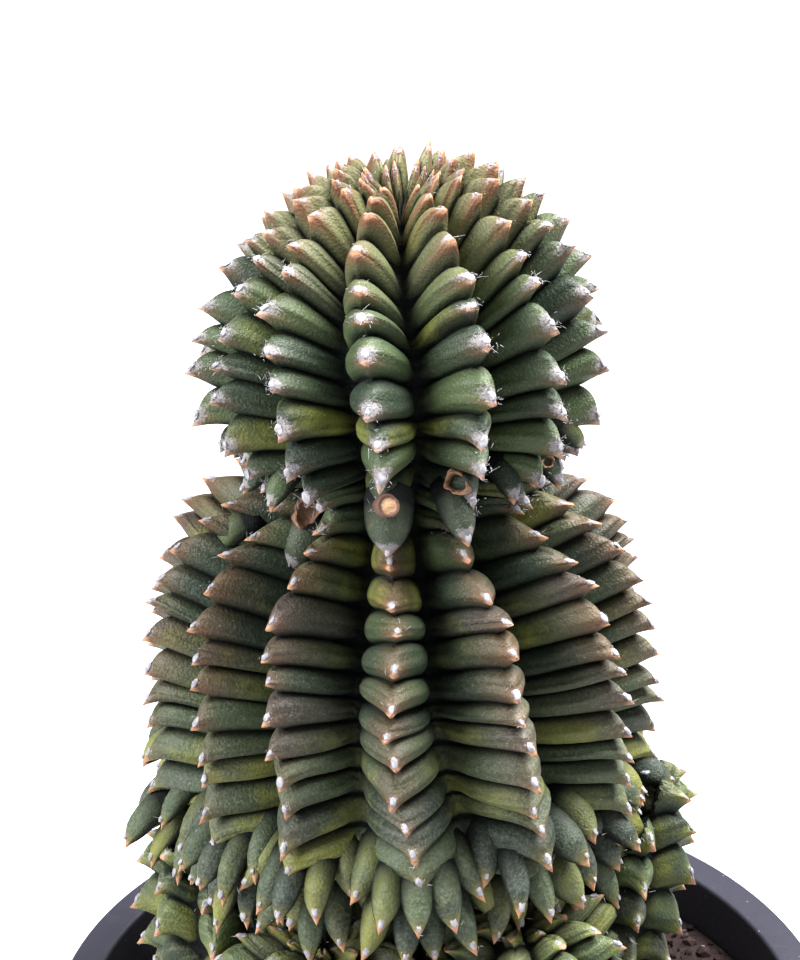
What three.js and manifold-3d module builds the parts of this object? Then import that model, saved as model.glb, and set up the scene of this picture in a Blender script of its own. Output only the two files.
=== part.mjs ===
// A potted plaid cactus, as a standalone three.js scene in millimetres with +Z up.
//
// The main stem is one grown body: a round ribbed head on a pinched waist, above a broader body
// whose ribs end in hanging tips. Shorter offsets crowd round its foot. All of them stand in plain
// holes in the soil of a round plastic pot. The origin is the centre of the underside of the pot.
//
// Every stem is made by one formula. Two profile lines run from the crown down: the crest line,
// on which the tips of a rib lie, and the groove line between two ribs. Across each rib runs a
// stack of folds, and each fold swells into a roll and ends at the crest in a beak.

import * as THREE from "three";
import { mergeVertices } from "three/addons/utils/BufferGeometryUtils.js";
import Module from "manifold-3d";

// Driving dimensions of the pot
const RIM_RADIUS = 60;
const POT_HEIGHT = 105;
const LIP_WIDTH = 5.5;
const LIP_THICKNESS = 1.6;
const SKIRT_HEIGHT = 9;
const WALL = 1.5;
const FLOOR_RADIUS = 42;
const FLOOR_THICKNESS = 2;
const DRAIN_RADIUS = 4;
const DRAIN_CIRCLE = 27;
const DRAIN_COUNT = 6;
const DRAIN_SIDES = 8;
const EDGE_ROUND = 0.6;
const POT_SIDES = 44;

// Driving dimensions of the soil
const SOIL_LEVEL = 98;
const SOIL_LUMP = 0.9;
const SOIL_SIDES = 24;
const SOIL_GAP = 0.5;
const CLEARANCE = 0.35;
const FOOT_DEPTH = 12;
const HOLE_SIDES = 10;

// The heights over which the room that the main stem takes is worked out
const ROOM_FROM = 126;
const ROOM_TO = 168;
const ROOM_STEP = 3;

// Where the plant stands in the pot: its own axis is a little to the left of the middle
const PLANT_X = -6.6;
const PLANT_Y = 0;

// How finely a fold is drawn. The marks across go from a rib's left groove (-1) over its crest (0).
// The marks down go from a fold's crease over its roll to TIP_PLACE, where its tip is.
const STEM_ACROSS = [-1, -0.6, 0, 0.6];
const OFFSET_ACROSS = [-1, 0];
const TIP_PLACE = 0.74;
const STEM_DOWN = [0, 0.36, TIP_PLACE];
const OFFSET_DOWN = [0, TIP_PLACE];

// The main stem. Each line is [fold number counted from the crown, radius, height above the floor].
// The grooves are deep on the head and the body, and run out in the hanging hem of the body.
const STEM_CREST = [
  [0, 2.6, 238.4], [1, 6.4, 240.8], [2, 10.8, 240.4], [3, 15.0, 238.2], [4, 18.6, 235.2],
  [6, 24.2, 227.8], [8, 27.8, 217.6], [9.5, 28.0, 209.6], [10.6, 25.6, 204.4], [11.6, 22.0, 200.6],
  [12.4, 20.6, 198.0], [13.2, 21.8, 195.8], [14, 25.4, 193.4], [15, 29.8, 190.2], [16, 32.8, 186.5],
  [18, 35.7, 178.2], [20, 36.7, 169.3], [22, 37.0, 160.2], [24, 36.7, 151.2], [25, 34.8, 147.2],
  [26, 30.2, 144.2],
];
const STEM_GROOVE = [
  [0, 1.4, 234.6], [1, 4.2, 234.2], [2, 7.4, 232.6], [3, 10.2, 229.8], [4, 12.2, 226.8],
  [6, 14.8, 220.2], [8, 16.0, 213.0], [9.5, 15.8, 207.4], [10.6, 14.8, 203.6],
  [11.6, 13.8, 200.0], [12.4, 13.2, 196.4], [13.2, 13.4, 192.4], [14, 14.6, 188.2],
  [15, 16.4, 183.4], [16, 18.2, 178.8], [18, 21.0, 172.0], [20, 23.2, 166.0],
  [22, 26.0, 159.6], [24, 29.4, 152.6], [25, 29.6, 149.4], [26, 25.6, 146.4],
];
const STEM_FOLDS = 26;
const STEM_FOOT_RADIUS = 15;
const STEM_NECK_RADIUS = 17;
const STEM_NECK_TOP = 141;
// Tip length and fold depth, each as [fold number, millimetres].
const STEM_TIP = [[0, 1.4], [3, 2.8], [8, 3.6], [10, 3.8], [12, 3.0], [18, 3.4], [23, 3.8], [26, 4.8]];
const STEM_ROLL = [[0, 0.5], [3, 1.3], [9, 1.8], [12, 1.1], [18, 1.4], [26, 1.6]];
// How far each tip turns down from the fold's own direction, as [fold number, degrees].
const STEM_DROOP = [[0, -12], [6, 8], [9, 20], [10.6, 32], [13, 6], [18, 14], [22, 24], [26, 30]];
// From this fold on, a row of tips also hangs between the ribs.
const HEM_START = 22;
// The crown is a little higher on the right than on the left.
const CROWN_TILT = 6;
const TILT_FROM = 206;
const TILT_FULL = 240;

// The bearing of each rib, in degrees from straight ahead, positive to the right, at these folds.
const BEARING_FOLDS = [1, 3, 6, 9, 12, 15, 19, 24];
const FRONT_RIBS = [
  [-104, -95, -87, -80, -78, -79, -76, -74],
  [-88, -76, -66, -58, -54, -56, -49, -45],
  [-66, -54, -45, -33, -28, -32, -28, -24],
  [-26, -21, -11, -5, -5, -1, -2, 4],
  [28, 23, 25, 23, 20, 25, 27, 34],
  [56, 52, 50, 49, 49, 54, 57, 62],
  [82, 78, 75, 74, 72, 77, 80, 86],
];
const BACK_RIB_COUNT = 6;
const BACK_WANDER = 2.2;

// The offsets, each as [bearing in degrees, distance of the foot from the plant's axis,
// lean outwards in degrees, radius, height above the soil]. They lean on each other.
const OFFSETS = [
  [36, 25.5, 5, 19.5, 42],
  [84, 21.5, 10, 16.4, 55],
  [151, 23, 12, 16.8, 53],
  [219, 23, 12, 16.6, 52],
  [288, 20, 8, 15.8, 48],
  [338, 24.5, 5, 18.5, 40],
];
const OFFSET_RIBS = 9;
const OFFSET_FOLDS = 8;
const OFFSET_FOOT_RADIUS = 5.6;
// Profiles of an offset, as [fold number, share of its radius, share of its height].
const OFFSET_CREST = [
  [0, 0.12, 0.96], [1, 0.42, 1.0], [2, 0.68, 0.96], [3, 0.87, 0.86], [4, 0.97, 0.73], [5, 1.0, 0.6],
  [6, 0.98, 0.46], [7, 0.92, 0.33], [8, 0.82, 0.22],
];
const OFFSET_GROOVE = [
  [0, 0.06, 0.91], [1, 0.26, 0.93], [2, 0.46, 0.89], [3, 0.6, 0.8], [4, 0.68, 0.69],
  [5, 0.71, 0.57], [6, 0.7, 0.45], [7, 0.66, 0.34], [8, 0.6, 0.25],
];
const OFFSET_TIP = [[0, 1.2], [2, 2.6], [4, 4.2], [8, 4.6]];
const OFFSET_ROLL = [[0, 0.5], [3, 1.3], [8, 1.5]];
const OFFSET_DROOP = [[0, -2], [2, 14], [4, 28], [8, 36]];

// The shape of one fold. A power above 2 makes a curve squarer than a circle. BEAK_WIDTH is a share
// of half a rib, and SIDE_SWELL is how much narrower a rib is at a crease than at the roll.
const ROLL_POWER = 2.6;
const ARCH_POWER = 1.8;
const ARCH_ROUND = 0.75;
const BEAK_WIDTH = 0.3;
const BEAK_RISE = 1.7;
const SIDE_SWELL = 0.14;
// How the ribs differ: where their folds start, a slow sway of the folds' spacing, both in folds,
// and the spread in size between one tip and another.
const START_SPREAD = 0.8;
const SWAY = 0.16;
const SWAY_RATE = 1.9;
const SIZE_SPREAD = 0.3;
// The folds at either end of a rib over which its own start and sway fade out.
const CALM_FOLDS = 1.5;

const DEGREE = Math.PI / 180;
const ORIGIN = new THREE.Vector2();

// A fixed draw between 0 and 1 for a pair of whole numbers, so that every run is the same.
function draw(first, second) {
  const wave = Math.sin(first * 12.9898 + second * 78.233 + 4.1) * 43758.5453;
  return wave - Math.floor(wave);
}

// A smooth line through rows of [place, value, value, ...]: returns the value of one column.
function along(rows, column, place) {
  const last = rows.length - 1;
  if (place <= rows[0][0]) return rows[0][column];
  if (place >= rows[last][0]) return rows[last][column];
  let i = 0;
  while (place > rows[i + 1][0]) i += 1;
  const slope = (k) => {
    const before = rows[Math.max(k - 1, 0)];
    const after = rows[Math.min(k + 1, last)];
    return (after[column] - before[column]) / (after[0] - before[0]);
  };
  const span = rows[i + 1][0] - rows[i][0];
  const t = (place - rows[i][0]) / span;
  const rise = rows[i + 1][column] - rows[i][column];
  const curve = (slope(i) * span - rise) * (1 - t) - (slope(i + 1) * span - rise) * t;
  return rows[i][column] + rise * t + t * (1 - t) * curve;
}

// A closed band of triangles: rings from the top down, with a point in the middle at each end.
// The split of each square is mirrored about the crest of a rib, so that a fold looks the same
// on both sides.
function ringsToGeometry(rings, top, bottom, rightHalf) {
  const width = rings[0].length;
  const points = [top, ...rings.flat(), bottom];
  const at = (ring, column) => 1 + ring * width + (column % width);
  const faces = [];
  for (let c = 0; c < width; c += 1) {
    faces.push(0, at(0, c), at(0, c + 1));
    for (let r = 0; r + 1 < rings.length; r += 1) {
      const [a, b] = [at(r, c), at(r, c + 1)];
      const [d, e] = [at(r + 1, c), at(r + 1, c + 1)];
      if (rightHalf(c)) faces.push(a, d, b, b, d, e);
      else faces.push(a, d, e, a, e, b);
    }
    faces.push(points.length - 1, at(rings.length - 1, c + 1), at(rings.length - 1, c));
  }
  const geometry = new THREE.BufferGeometry().setFromPoints(points);
  geometry.setIndex(faces);
  return geometry;
}

// One ribbed and folded stem standing on the origin, with its axis along +Z.
class FoldedStem {
  constructor(plan) {
    Object.assign(this, plan);
  }

  // The folds of a rib start at a height of their own, and are not all alike.
  shift(rib, v) {
    const toEnd = Math.max(0, this.folds - v);
    const calm = Math.min(1, v / CALM_FOLDS) * Math.min(1, toEnd / CALM_FOLDS);
    const start = START_SPREAD * (draw(rib, this.seed) - 0.5);
    const sway = SWAY * Math.sin(v * SWAY_RATE + 7 * draw(rib, this.seed + 1));
    return calm * (start + sway);
  }

  wrap(rib) {
    return (rib + this.ribs) % this.ribs;
  }

  // A value that belongs to ribs, shared between a rib and its neighbour at a place between them.
  between(rib, u, value) {
    const share = Math.abs(u) / 2;
    return value(rib) * (1 - share) + value(u < 0 ? rib - 1 : rib + 1) * share;
  }

  // A point of the finished surface: rib number, place across it, fold number and the share of
  // the way down that fold. A point keeps to its own bearing, so two ribs never meet.
  surface(rib, u, fold, p) {
    const v = fold + p;
    const across = Math.abs(u);
    const moved = v + this.between(rib, u, (k) => this.shift(this.wrap(k), v));
    const [inner, outer] = [this.groove, this.crest].map(
      (rows) => new THREE.Vector2(along(rows, 1, moved), along(rows, 2, moved)));
    const reach = outer.clone().sub(inner);
    const grown = 1 + SIZE_SPREAD * (draw(this.wrap(rib) * 31 + fold, this.seed + 2) - 0.5);
    const tip = along(this.tip, 1, v) * grown;
    const depth = along(this.roll, 1, v) * grown;
    const roll = 1 - Math.pow(Math.abs(2 * p - 1), ROLL_POWER);
    const arch = Math.pow(1 - Math.pow(across, ARCH_POWER), ARCH_ROUND);
    const point = inner.clone().addScaledVector(reach, arch * (1 - tip / reach.length()));
    const direction = reach.angle();
    point.add(new THREE.Vector2(depth * roll * arch, 0).rotateAround(ORIGIN, direction));
    const rise = p < TIP_PLACE ? Math.pow(p / TIP_PLACE, BEAK_RISE) : (1 - p) / (1 - TIP_PLACE);
    const bump = (distance) => Math.exp(-Math.pow(distance / BEAK_WIDTH, 2));
    const hem = Math.min(1, Math.max(0, v - this.hemStart));
    const beak = tip * rise * (bump(across) + hem * bump(1 - across));
    const turn = along(this.droop, 1, v) * DEGREE;
    point.add(new THREE.Vector2(beak, 0).rotateAround(ORIGIN, direction - turn));
    const waist = 1 - SIDE_SWELL * (1 - roll) * (1 - Math.pow(across, 6));
    const angle = this.between(rib, u * waist, (k) => this.bearing(k, v)) * DEGREE;
    return new THREE.Vector3(point.x * Math.sin(angle), -point.x * Math.cos(angle), point.y);
  }

  geometry() {
    const rings = [];
    for (let fold = 0; fold < this.folds; fold += 1) {
      for (const p of this.down) {
        const ring = [];
        for (let rib = 0; rib < this.ribs; rib += 1) {
          for (const u of this.across) ring.push(this.surface(rib, u, fold, p));
        }
        rings.push(ring);
      }
    }
    // Below the last fold the stem runs down as a plain round foot.
    for (const [radius, height] of this.footRings) {
      rings.push(rings[0].map((_, column) => {
        const rib = Math.floor(column / this.across.length);
        const u = this.across[column % this.across.length];
        const angle = this.between(rib, u, (k) => this.bearing(k, this.folds)) * DEGREE;
        return new THREE.Vector3(radius * Math.sin(angle), -radius * Math.cos(angle), height);
      }));
    }
    const middle = this.across.indexOf(0);
    const top = new THREE.Vector3(0, 0, this.groove[0][2] - 0.6);
    const bottom = new THREE.Vector3(0, 0, this.footRings.at(-1)[1]);
    const rightHalf = (column) => column % this.across.length < middle;
    return ringsToGeometry(rings, top, bottom, rightHalf);
  }
}

// Bearings of the main stem's ribs: those in front as measured, those behind spread evenly.
function stemBearing(rib, v) {
  const count = FRONT_RIBS.length + BACK_RIB_COUNT;
  const turns = Math.floor(rib / count);
  const place = rib - turns * count;
  const measured = (front) =>
    along(BEARING_FOLDS.map((fold, i) => [fold, FRONT_RIBS[front][i]]), 1, v);
  let bearing;
  if (place < FRONT_RIBS.length) {
    bearing = measured(place);
  } else {
    const behind = place - FRONT_RIBS.length + 1;
    const from = measured(FRONT_RIBS.length - 1);
    const gap = (measured(0) + 360 - from) / (BACK_RIB_COUNT + 1);
    const wander = BACK_WANDER * Math.sin(v * 0.55 + 9 * draw(place, 40));
    bearing = from + gap * behind + wander;
  }
  return bearing + turns * 360;
}

const stem = new FoldedStem({
  ribs: FRONT_RIBS.length + BACK_RIB_COUNT,
  folds: STEM_FOLDS,
  crest: STEM_CREST,
  groove: STEM_GROOVE,
  tip: STEM_TIP,
  roll: STEM_ROLL,
  droop: STEM_DROOP,
  bearing: stemBearing,
  seed: 11,
  hemStart: HEM_START,
  across: STEM_ACROSS,
  down: STEM_DOWN,
  footRings: [
    [STEM_NECK_RADIUS, STEM_NECK_TOP],
    [STEM_FOOT_RADIUS, ROOM_FROM + 2],
    [STEM_FOOT_RADIUS, SOIL_LEVEL - FOOT_DEPTH],
  ],
});

// The head grows a little askew: its crown rises to the right.
function tilted(geometry) {
  const place = geometry.getAttribute("position");
  for (let i = 0; i < place.count; i += 1) {
    const share = THREE.MathUtils.smoothstep(place.getZ(i), TILT_FROM, TILT_FULL);
    place.setZ(i, place.getZ(i) + place.getX(i) * Math.tan(CROWN_TILT * DEGREE) * share);
  }
  return geometry;
}

// An offset, standing on the origin before it is leaned and moved to its place.
function offsetStem(number, radius, height) {
  const sized = (rows) => rows.map(([v, r, z]) => [v, r * radius, z * height]);
  return new FoldedStem({
    ribs: OFFSET_RIBS,
    folds: OFFSET_FOLDS,
    crest: sized(OFFSET_CREST),
    groove: sized(OFFSET_GROOVE),
    tip: OFFSET_TIP,
    roll: OFFSET_ROLL,
    droop: OFFSET_DROOP,
    bearing: (rib) => (360 / OFFSET_RIBS) * (rib + draw(number, 5)),
    seed: 20 + number * 3,
    hemStart: OFFSET_FOLDS,
    across: OFFSET_ACROSS,
    down: OFFSET_DOWN,
    footRings: [
      [OFFSET_FOOT_RADIUS + 1.4, 0.1 * height],
      [OFFSET_FOOT_RADIUS, 0.03 * height],
      [OFFSET_FOOT_RADIUS, -FOOT_DEPTH],
    ],
  });
}

// Where an offset stands: leaned outwards about its foot, in the soil.
function offsetPlace(bearing, distance, lean) {
  const angle = bearing * DEGREE;
  const outwards = new THREE.Vector3(Math.sin(angle), -Math.cos(angle), 0);
  const axis = new THREE.Vector3(0, 0, 1).cross(outwards);
  const place = new THREE.Matrix4().makeRotationAxis(axis, lean * DEGREE);
  place.setPosition(
    PLANT_X + distance * outwards.x, PLANT_Y + distance * outwards.y, SOIL_LEVEL);
  return place;
}

const wasm = await Module();
wasm.setup();

function toSolid(geometry) {
  const bare = geometry.clone();
  bare.deleteAttribute("normal");
  bare.deleteAttribute("uv");
  const merged = mergeVertices(bare, 1e-4);
  return new wasm.Manifold(new wasm.Mesh({
    numProp: 3,
    vertProperties: new Float32Array(merged.attributes.position.array),
    triVerts: new Uint32Array(merged.index.array),
  }));
}

function toGeometry(solid) {
  const mesh = solid.getMesh();
  const geometry = new THREE.BufferGeometry();
  geometry.setAttribute("position", new THREE.BufferAttribute(mesh.vertProperties, 3));
  geometry.setIndex(new THREE.BufferAttribute(mesh.triVerts, 1));
  geometry.computeVertexNormals();
  return geometry;
}

// A turned solid from [radius, height] pairs that start and end on the axis, from the bottom up.
function turned(profile, sides) {
  const outline = profile.map(([radius, height]) => new THREE.Vector2(radius, height));
  return new THREE.LatheGeometry(outline, sides).rotateX(Math.PI / 2);
}

// The widest reach of the main stem at each height, as a turned solid a little larger than it.
// The offsets keep clear of it.
function roomOfStem(geometry) {
  const place = geometry.getAttribute("position");
  const reachAt = (height) => {
    let reach = STEM_NECK_RADIUS;
    for (let i = 0; i < place.count; i += 1) {
      if (Math.abs(place.getZ(i) - height) > ROOM_STEP) continue;
      reach = Math.max(reach, Math.hypot(place.getX(i) - PLANT_X, place.getY(i) - PLANT_Y));
    }
    return reach;
  };
  const profile = [[0, SOIL_LEVEL - 2 * FOOT_DEPTH]];
  profile.push([STEM_FOOT_RADIUS + CLEARANCE, SOIL_LEVEL - 2 * FOOT_DEPTH]);
  for (let height = ROOM_FROM; height <= ROOM_TO; height += ROOM_STEP) {
    profile.push([reachAt(height) / Math.cos(Math.PI / SOIL_SIDES) + CLEARANCE, height]);
  }
  profile.push([0, ROOM_TO]);
  return turned(profile, SOIL_SIDES).translate(PLANT_X, PLANT_Y, 0);
}

// The share of the ring that an offset has to itself, as an upright wedge.
function wedge(from, to) {
  const outline = new THREE.Shape();
  const inset = CLEARANCE / 2 / Math.sin(((to - from) / 2) * DEGREE);
  const middle = ((from + to) / 2) * DEGREE;
  const [tipX, tipY] = [inset * Math.sin(middle), -inset * Math.cos(middle)];
  outline.moveTo(tipX, tipY);
  for (const share of [0, 0.5, 1]) {
    const angle = (from + (to - from) * share) * DEGREE;
    outline.lineTo(tipX + 2 * RIM_RADIUS * Math.sin(angle), tipY - 2 * RIM_RADIUS * Math.cos(angle));
  }
  const depth = 2 * POT_HEIGHT;
  return new THREE.ExtrudeGeometry(outline, { depth, bevelEnabled: false, steps: 1 })
    .translate(PLANT_X, PLANT_Y, 0);
}

// The pot: flat floor, tapered wall, and a flat lip that turns down in a short skirt.
function potGeometry() {
  const innerRim = RIM_RADIUS - LIP_WIDTH;
  const wallFoot = FLOOR_RADIUS - 1;
  const skirtInner = RIM_RADIUS - LIP_THICKNESS;
  const underLip = POT_HEIGHT - LIP_THICKNESS;
  const profile = [
    [0, 0], [wallFoot, 0], [FLOOR_RADIUS, 1], [innerRim + WALL, underLip],
    [skirtInner, underLip], [skirtInner, POT_HEIGHT - SKIRT_HEIGHT],
    [RIM_RADIUS, POT_HEIGHT - SKIRT_HEIGHT], [RIM_RADIUS, POT_HEIGHT - EDGE_ROUND],
    [RIM_RADIUS - EDGE_ROUND, POT_HEIGHT], [innerRim + EDGE_ROUND, POT_HEIGHT],
    [innerRim, POT_HEIGHT - EDGE_ROUND],
    [FLOOR_RADIUS - WALL, FLOOR_THICKNESS], [0, FLOOR_THICKNESS],
  ];
  let solid = toSolid(turned(profile, POT_SIDES));
  for (let i = 0; i < DRAIN_COUNT; i += 1) {
    const drain = new THREE.CylinderGeometry(
      DRAIN_RADIUS, DRAIN_RADIUS, FLOOR_THICKNESS * 3, DRAIN_SIDES);
    const angle = (i / DRAIN_COUNT) * 2 * Math.PI;
    drain.rotateX(Math.PI / 2);
    drain.translate(DRAIN_CIRCLE * Math.cos(angle), DRAIN_CIRCLE * Math.sin(angle), 0);
    solid = solid.subtract(toSolid(drain));
  }
  return toGeometry(solid);
}

// The radius of the pot's inner wall at a height.
function innerWall(height) {
  const foot = FLOOR_RADIUS - WALL;
  const rim = RIM_RADIUS - LIP_WIDTH;
  const share = (height - FLOOR_THICKNESS) / (POT_HEIGHT - EDGE_ROUND - FLOOR_THICKNESS);
  return foot + (rim - foot) * share;
}

// The soil fills the pot, has a lumpy top, and has a plain hole for the foot of every stem.
function soilGeometry() {
  const bottom = FLOOR_THICKNESS + CLEARANCE;
  const lump = (radius, angle) =>
    SOIL_LUMP * Math.sin(radius * 0.52 + 3 * Math.sin(angle * 2)) * Math.cos(angle * 5 + radius * 0.3);
  const edge = innerWall(SOIL_LEVEL) - SOIL_GAP;
  const rings = [0.62, 0.82, 1].map((share) =>
    Array.from({ length: SOIL_SIDES }, (_, i) => {
      const angle = (i / SOIL_SIDES) * 2 * Math.PI;
      const radius = edge * share;
      const height = SOIL_LEVEL + (share < 1 ? lump(radius, angle) : -SOIL_LUMP);
      return new THREE.Vector3(radius * Math.cos(angle), radius * Math.sin(angle), height);
    }));
  const foot = innerWall(bottom) - SOIL_GAP;
  rings.push(rings[0].map((_, i) => {
    const angle = (i / SOIL_SIDES) * 2 * Math.PI;
    return new THREE.Vector3(foot * Math.cos(angle), foot * Math.sin(angle), bottom);
  }));
  const top = new THREE.Vector3(0, 0, SOIL_LEVEL);
  let solid = toSolid(ringsToGeometry(rings, top, new THREE.Vector3(0, 0, bottom), () => true));
  const hole = (radius) => {
    const depth = FOOT_DEPTH + CLEARANCE;
    const shaft = new THREE.CylinderGeometry(radius, radius, depth + 30, HOLE_SIDES);
    return shaft.rotateX(Math.PI / 2).translate(0, 0, 15 - depth / 2);
  };
  const stemHole = hole(STEM_FOOT_RADIUS / Math.cos(Math.PI / HOLE_SIDES) + CLEARANCE);
  solid = solid.subtract(toSolid(stemHole.translate(PLANT_X, PLANT_Y, SOIL_LEVEL)));
  for (const [bearing, distance, lean] of OFFSETS) {
    const radius = (OFFSET_FOOT_RADIUS + 0.6) / Math.cos(Math.PI / HOLE_SIDES) + CLEARANCE;
    solid = solid.subtract(toSolid(hole(radius).applyMatrix4(offsetPlace(bearing, distance, lean))));
  }
  return toGeometry(solid);
}

const green = (color) => new THREE.MeshStandardMaterial({ color, roughness: 0.45, metalness: 0 });
const stemSkin = green(0x46532f);
const offsetSkin = green(0x5b7038);
const potPlastic = new THREE.MeshStandardMaterial({ color: 0x1d1d24, roughness: 0.5 });
const soilGrains = new THREE.MeshStandardMaterial({ color: 0x3a2720, roughness: 0.95 });

function piece(name, geometry, material) {
  const mesh = new THREE.Mesh(geometry, material);
  mesh.name = name;
  return mesh;
}

const cactus = new THREE.Group();
cactus.add(piece("pot", potGeometry(), potPlastic));
cactus.add(piece("soil", soilGeometry(), soilGrains));
const stemGeometry = tilted(stem.geometry()).translate(PLANT_X, PLANT_Y, 0);
cactus.add(piece("main_stem", stemGeometry, stemSkin));
const room = toSolid(roomOfStem(stemGeometry));
OFFSETS.forEach(([bearing, distance, lean, radius, height], i) => {
  const grown = offsetStem(i, radius, height).geometry();
  grown.applyMatrix4(offsetPlace(bearing, distance, lean));
  const before = (OFFSETS.at(i - 1)[0] + bearing - (i === 0 ? 360 : 0)) / 2;
  const last = i === OFFSETS.length - 1;
  const after = (OFFSETS[last ? 0 : i + 1][0] + bearing + (last ? 360 : 0)) / 2;
  const cut = toSolid(grown).intersect(toSolid(wedge(before, after))).subtract(room);
  cactus.add(piece(`offset_${i + 1}`, toGeometry(cut), offsetSkin));
});

export default cactus;
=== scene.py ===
# %% [markdown]
# # A potted plaid cactus
#
# The plant is an old ribbed cactus: a round head on a pinched waist, above a broader body
# whose ribs end in hanging tips, with a ring of young offsets round its foot. It stands in gritty
# soil in a round black growing pot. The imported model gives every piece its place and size, so we
# load that first and build the fine skin, wool, scars, soil and plastic exactly where it stands.

# %% Load the frame
import math

import bmesh
import bpy
import numpy as np
from mathutils import Matrix, Vector
from mathutils.bvhtree import BVHTree


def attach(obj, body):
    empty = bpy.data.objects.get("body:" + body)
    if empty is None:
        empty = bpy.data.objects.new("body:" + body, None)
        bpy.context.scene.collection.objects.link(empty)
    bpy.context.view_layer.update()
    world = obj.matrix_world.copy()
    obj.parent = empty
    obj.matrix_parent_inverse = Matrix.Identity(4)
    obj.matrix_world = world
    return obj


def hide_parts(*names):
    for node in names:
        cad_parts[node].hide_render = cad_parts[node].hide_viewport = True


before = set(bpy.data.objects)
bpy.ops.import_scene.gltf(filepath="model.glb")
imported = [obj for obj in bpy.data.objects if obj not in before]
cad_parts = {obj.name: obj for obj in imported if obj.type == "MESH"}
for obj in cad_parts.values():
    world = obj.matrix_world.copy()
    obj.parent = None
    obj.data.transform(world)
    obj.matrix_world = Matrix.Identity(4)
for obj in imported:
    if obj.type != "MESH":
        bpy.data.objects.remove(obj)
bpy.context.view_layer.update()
bpy.ops.object.select_all(action="DESELECT")

# %% [markdown]
# ## Camera, floor and light
#
# The photograph looks down on the plant at 26 degrees from not far away. A camera of the same lens
# and place gives the same overlaps, so every rib can be compared. The light is that of a white room:
# an even sky, one wide lamp high up behind on the right, which draws the edges of the folds, and a
# weaker one in front on the left. The sky and the floor look white to the camera, but light the
# plant less than that. Colours are shown without a film curve, so the grooves are nearly black.

# %% Camera
MM = 0.001
IMAGE_WIDTH = 800
IMAGE_HEIGHT = 960
SENSOR = 36.0
LENS = 106.98
CAMERA_PLACE = Vector((-6.59, -359.27, 371.34)) * MM
CAMERA_TARGET = Vector((-6.59, 0.0, 195.49)) * MM
CAMERA_TURN = (CAMERA_TARGET - CAMERA_PLACE).to_track_quat("-Z", "Y")

bpy.ops.object.camera_add(location=CAMERA_PLACE)
camera = bpy.context.object
camera.name = "camera"
camera.data.lens = LENS
camera.data.sensor_width = SENSOR
camera.data.clip_start = 10 * MM
camera.data.clip_end = 20
camera.rotation_euler = CAMERA_TURN.to_euler()
bpy.context.scene.camera = camera
bpy.context.scene.view_settings.view_transform = "Standard"
print("camera looks down", round(90 - math.degrees(camera.rotation_euler.x), 2), "degrees")


# %% Floor and lamps
LAMP_GLOSS = 0.6
PLANT_MIDDLE = (-0.0066, 0.0, 0.19)
ROOM_LIGHT = 0.43
SEEN_LIGHT = 1.0
FLOOR_REACH = 6.0


def lamp(name, place, size, power, aim):
    """A soft square lamp that points at a place on the plant."""
    bpy.ops.object.light_add(type="AREA", location=place)
    light = bpy.context.object
    light.name = name
    light.data.size = size
    light.data.energy = power
    light.data.specular_factor = LAMP_GLOSS
    light.rotation_euler = (Vector(aim) - Vector(place)).to_track_quat("-Z", "Y").to_euler()


lamp("lamp_high", (0.3, 0.14, 0.84), 0.45, 21.0, PLANT_MIDDLE)
lamp("lamp_left", (-0.6, -0.25, 0.6), 0.5, 10.0, PLANT_MIDDLE)

world = bpy.data.worlds.new("white_room")
world.use_nodes = True
sky = world.node_tree.nodes["Background"]
sky.inputs["Color"].default_value = (0.97, 0.98, 1.0, 1.0)
looked_at = world.node_tree.nodes.new("ShaderNodeLightPath")
sky_strength = world.node_tree.nodes.new("ShaderNodeMapRange")
sky_strength.inputs["To Min"].default_value = ROOM_LIGHT
sky_strength.inputs["To Max"].default_value = SEEN_LIGHT
world.node_tree.links.new(looked_at.outputs["Is Camera Ray"], sky_strength.inputs["Value"])
world.node_tree.links.new(sky_strength.outputs["Result"], sky.inputs["Strength"])
bpy.context.scene.world = world
bpy.ops.mesh.primitive_plane_add(size=FLOOR_REACH, location=(0, 0, 0))
floor = bpy.context.object
floor.name = "floor"

# %% [markdown]
# ## Arithmetic on sockets
#
# A procedural material is a sum of masks. Written as nodes it is hard to read, so one small class
# wraps a socket and lets Python's own operators add the Math nodes. Colours go through Mix nodes,
# because a Math node would turn them grey.


# %% The socket class
class Value:
    """A number or colour in a material, which takes part in Python expressions."""

    def __init__(self, nodes, socket):
        self.nodes = nodes
        self.socket = socket

    def math(self, operation, other=0.0, clamp=False, flip=False):
        pair = (other, self) if flip else (self, other)
        settings = {"operation": operation, "use_clamp": clamp}
        return self.nodes.add("ShaderNodeMath", settings, dict(enumerate(pair)))

    def __add__(self, other):
        return self.math("ADD", other)

    def __sub__(self, other):
        return self.math("SUBTRACT", other)

    def __rsub__(self, other):
        return self.math("SUBTRACT", other, flip=True)

    def __mul__(self, other):
        return self.math("MULTIPLY", other)

    __radd__ = __add__
    __rmul__ = __mul__

    def clamp(self):
        return self.math("ADD", 0.0, clamp=True)

    def above(self, low, high):
        """0 where the value is under low, 1 where it is over high, and smooth between."""
        ramp = {"interpolation_type": "SMOOTHSTEP"}
        return self.nodes.add("ShaderNodeMapRange", ramp, {0: self, 1: low, 2: high})


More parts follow.
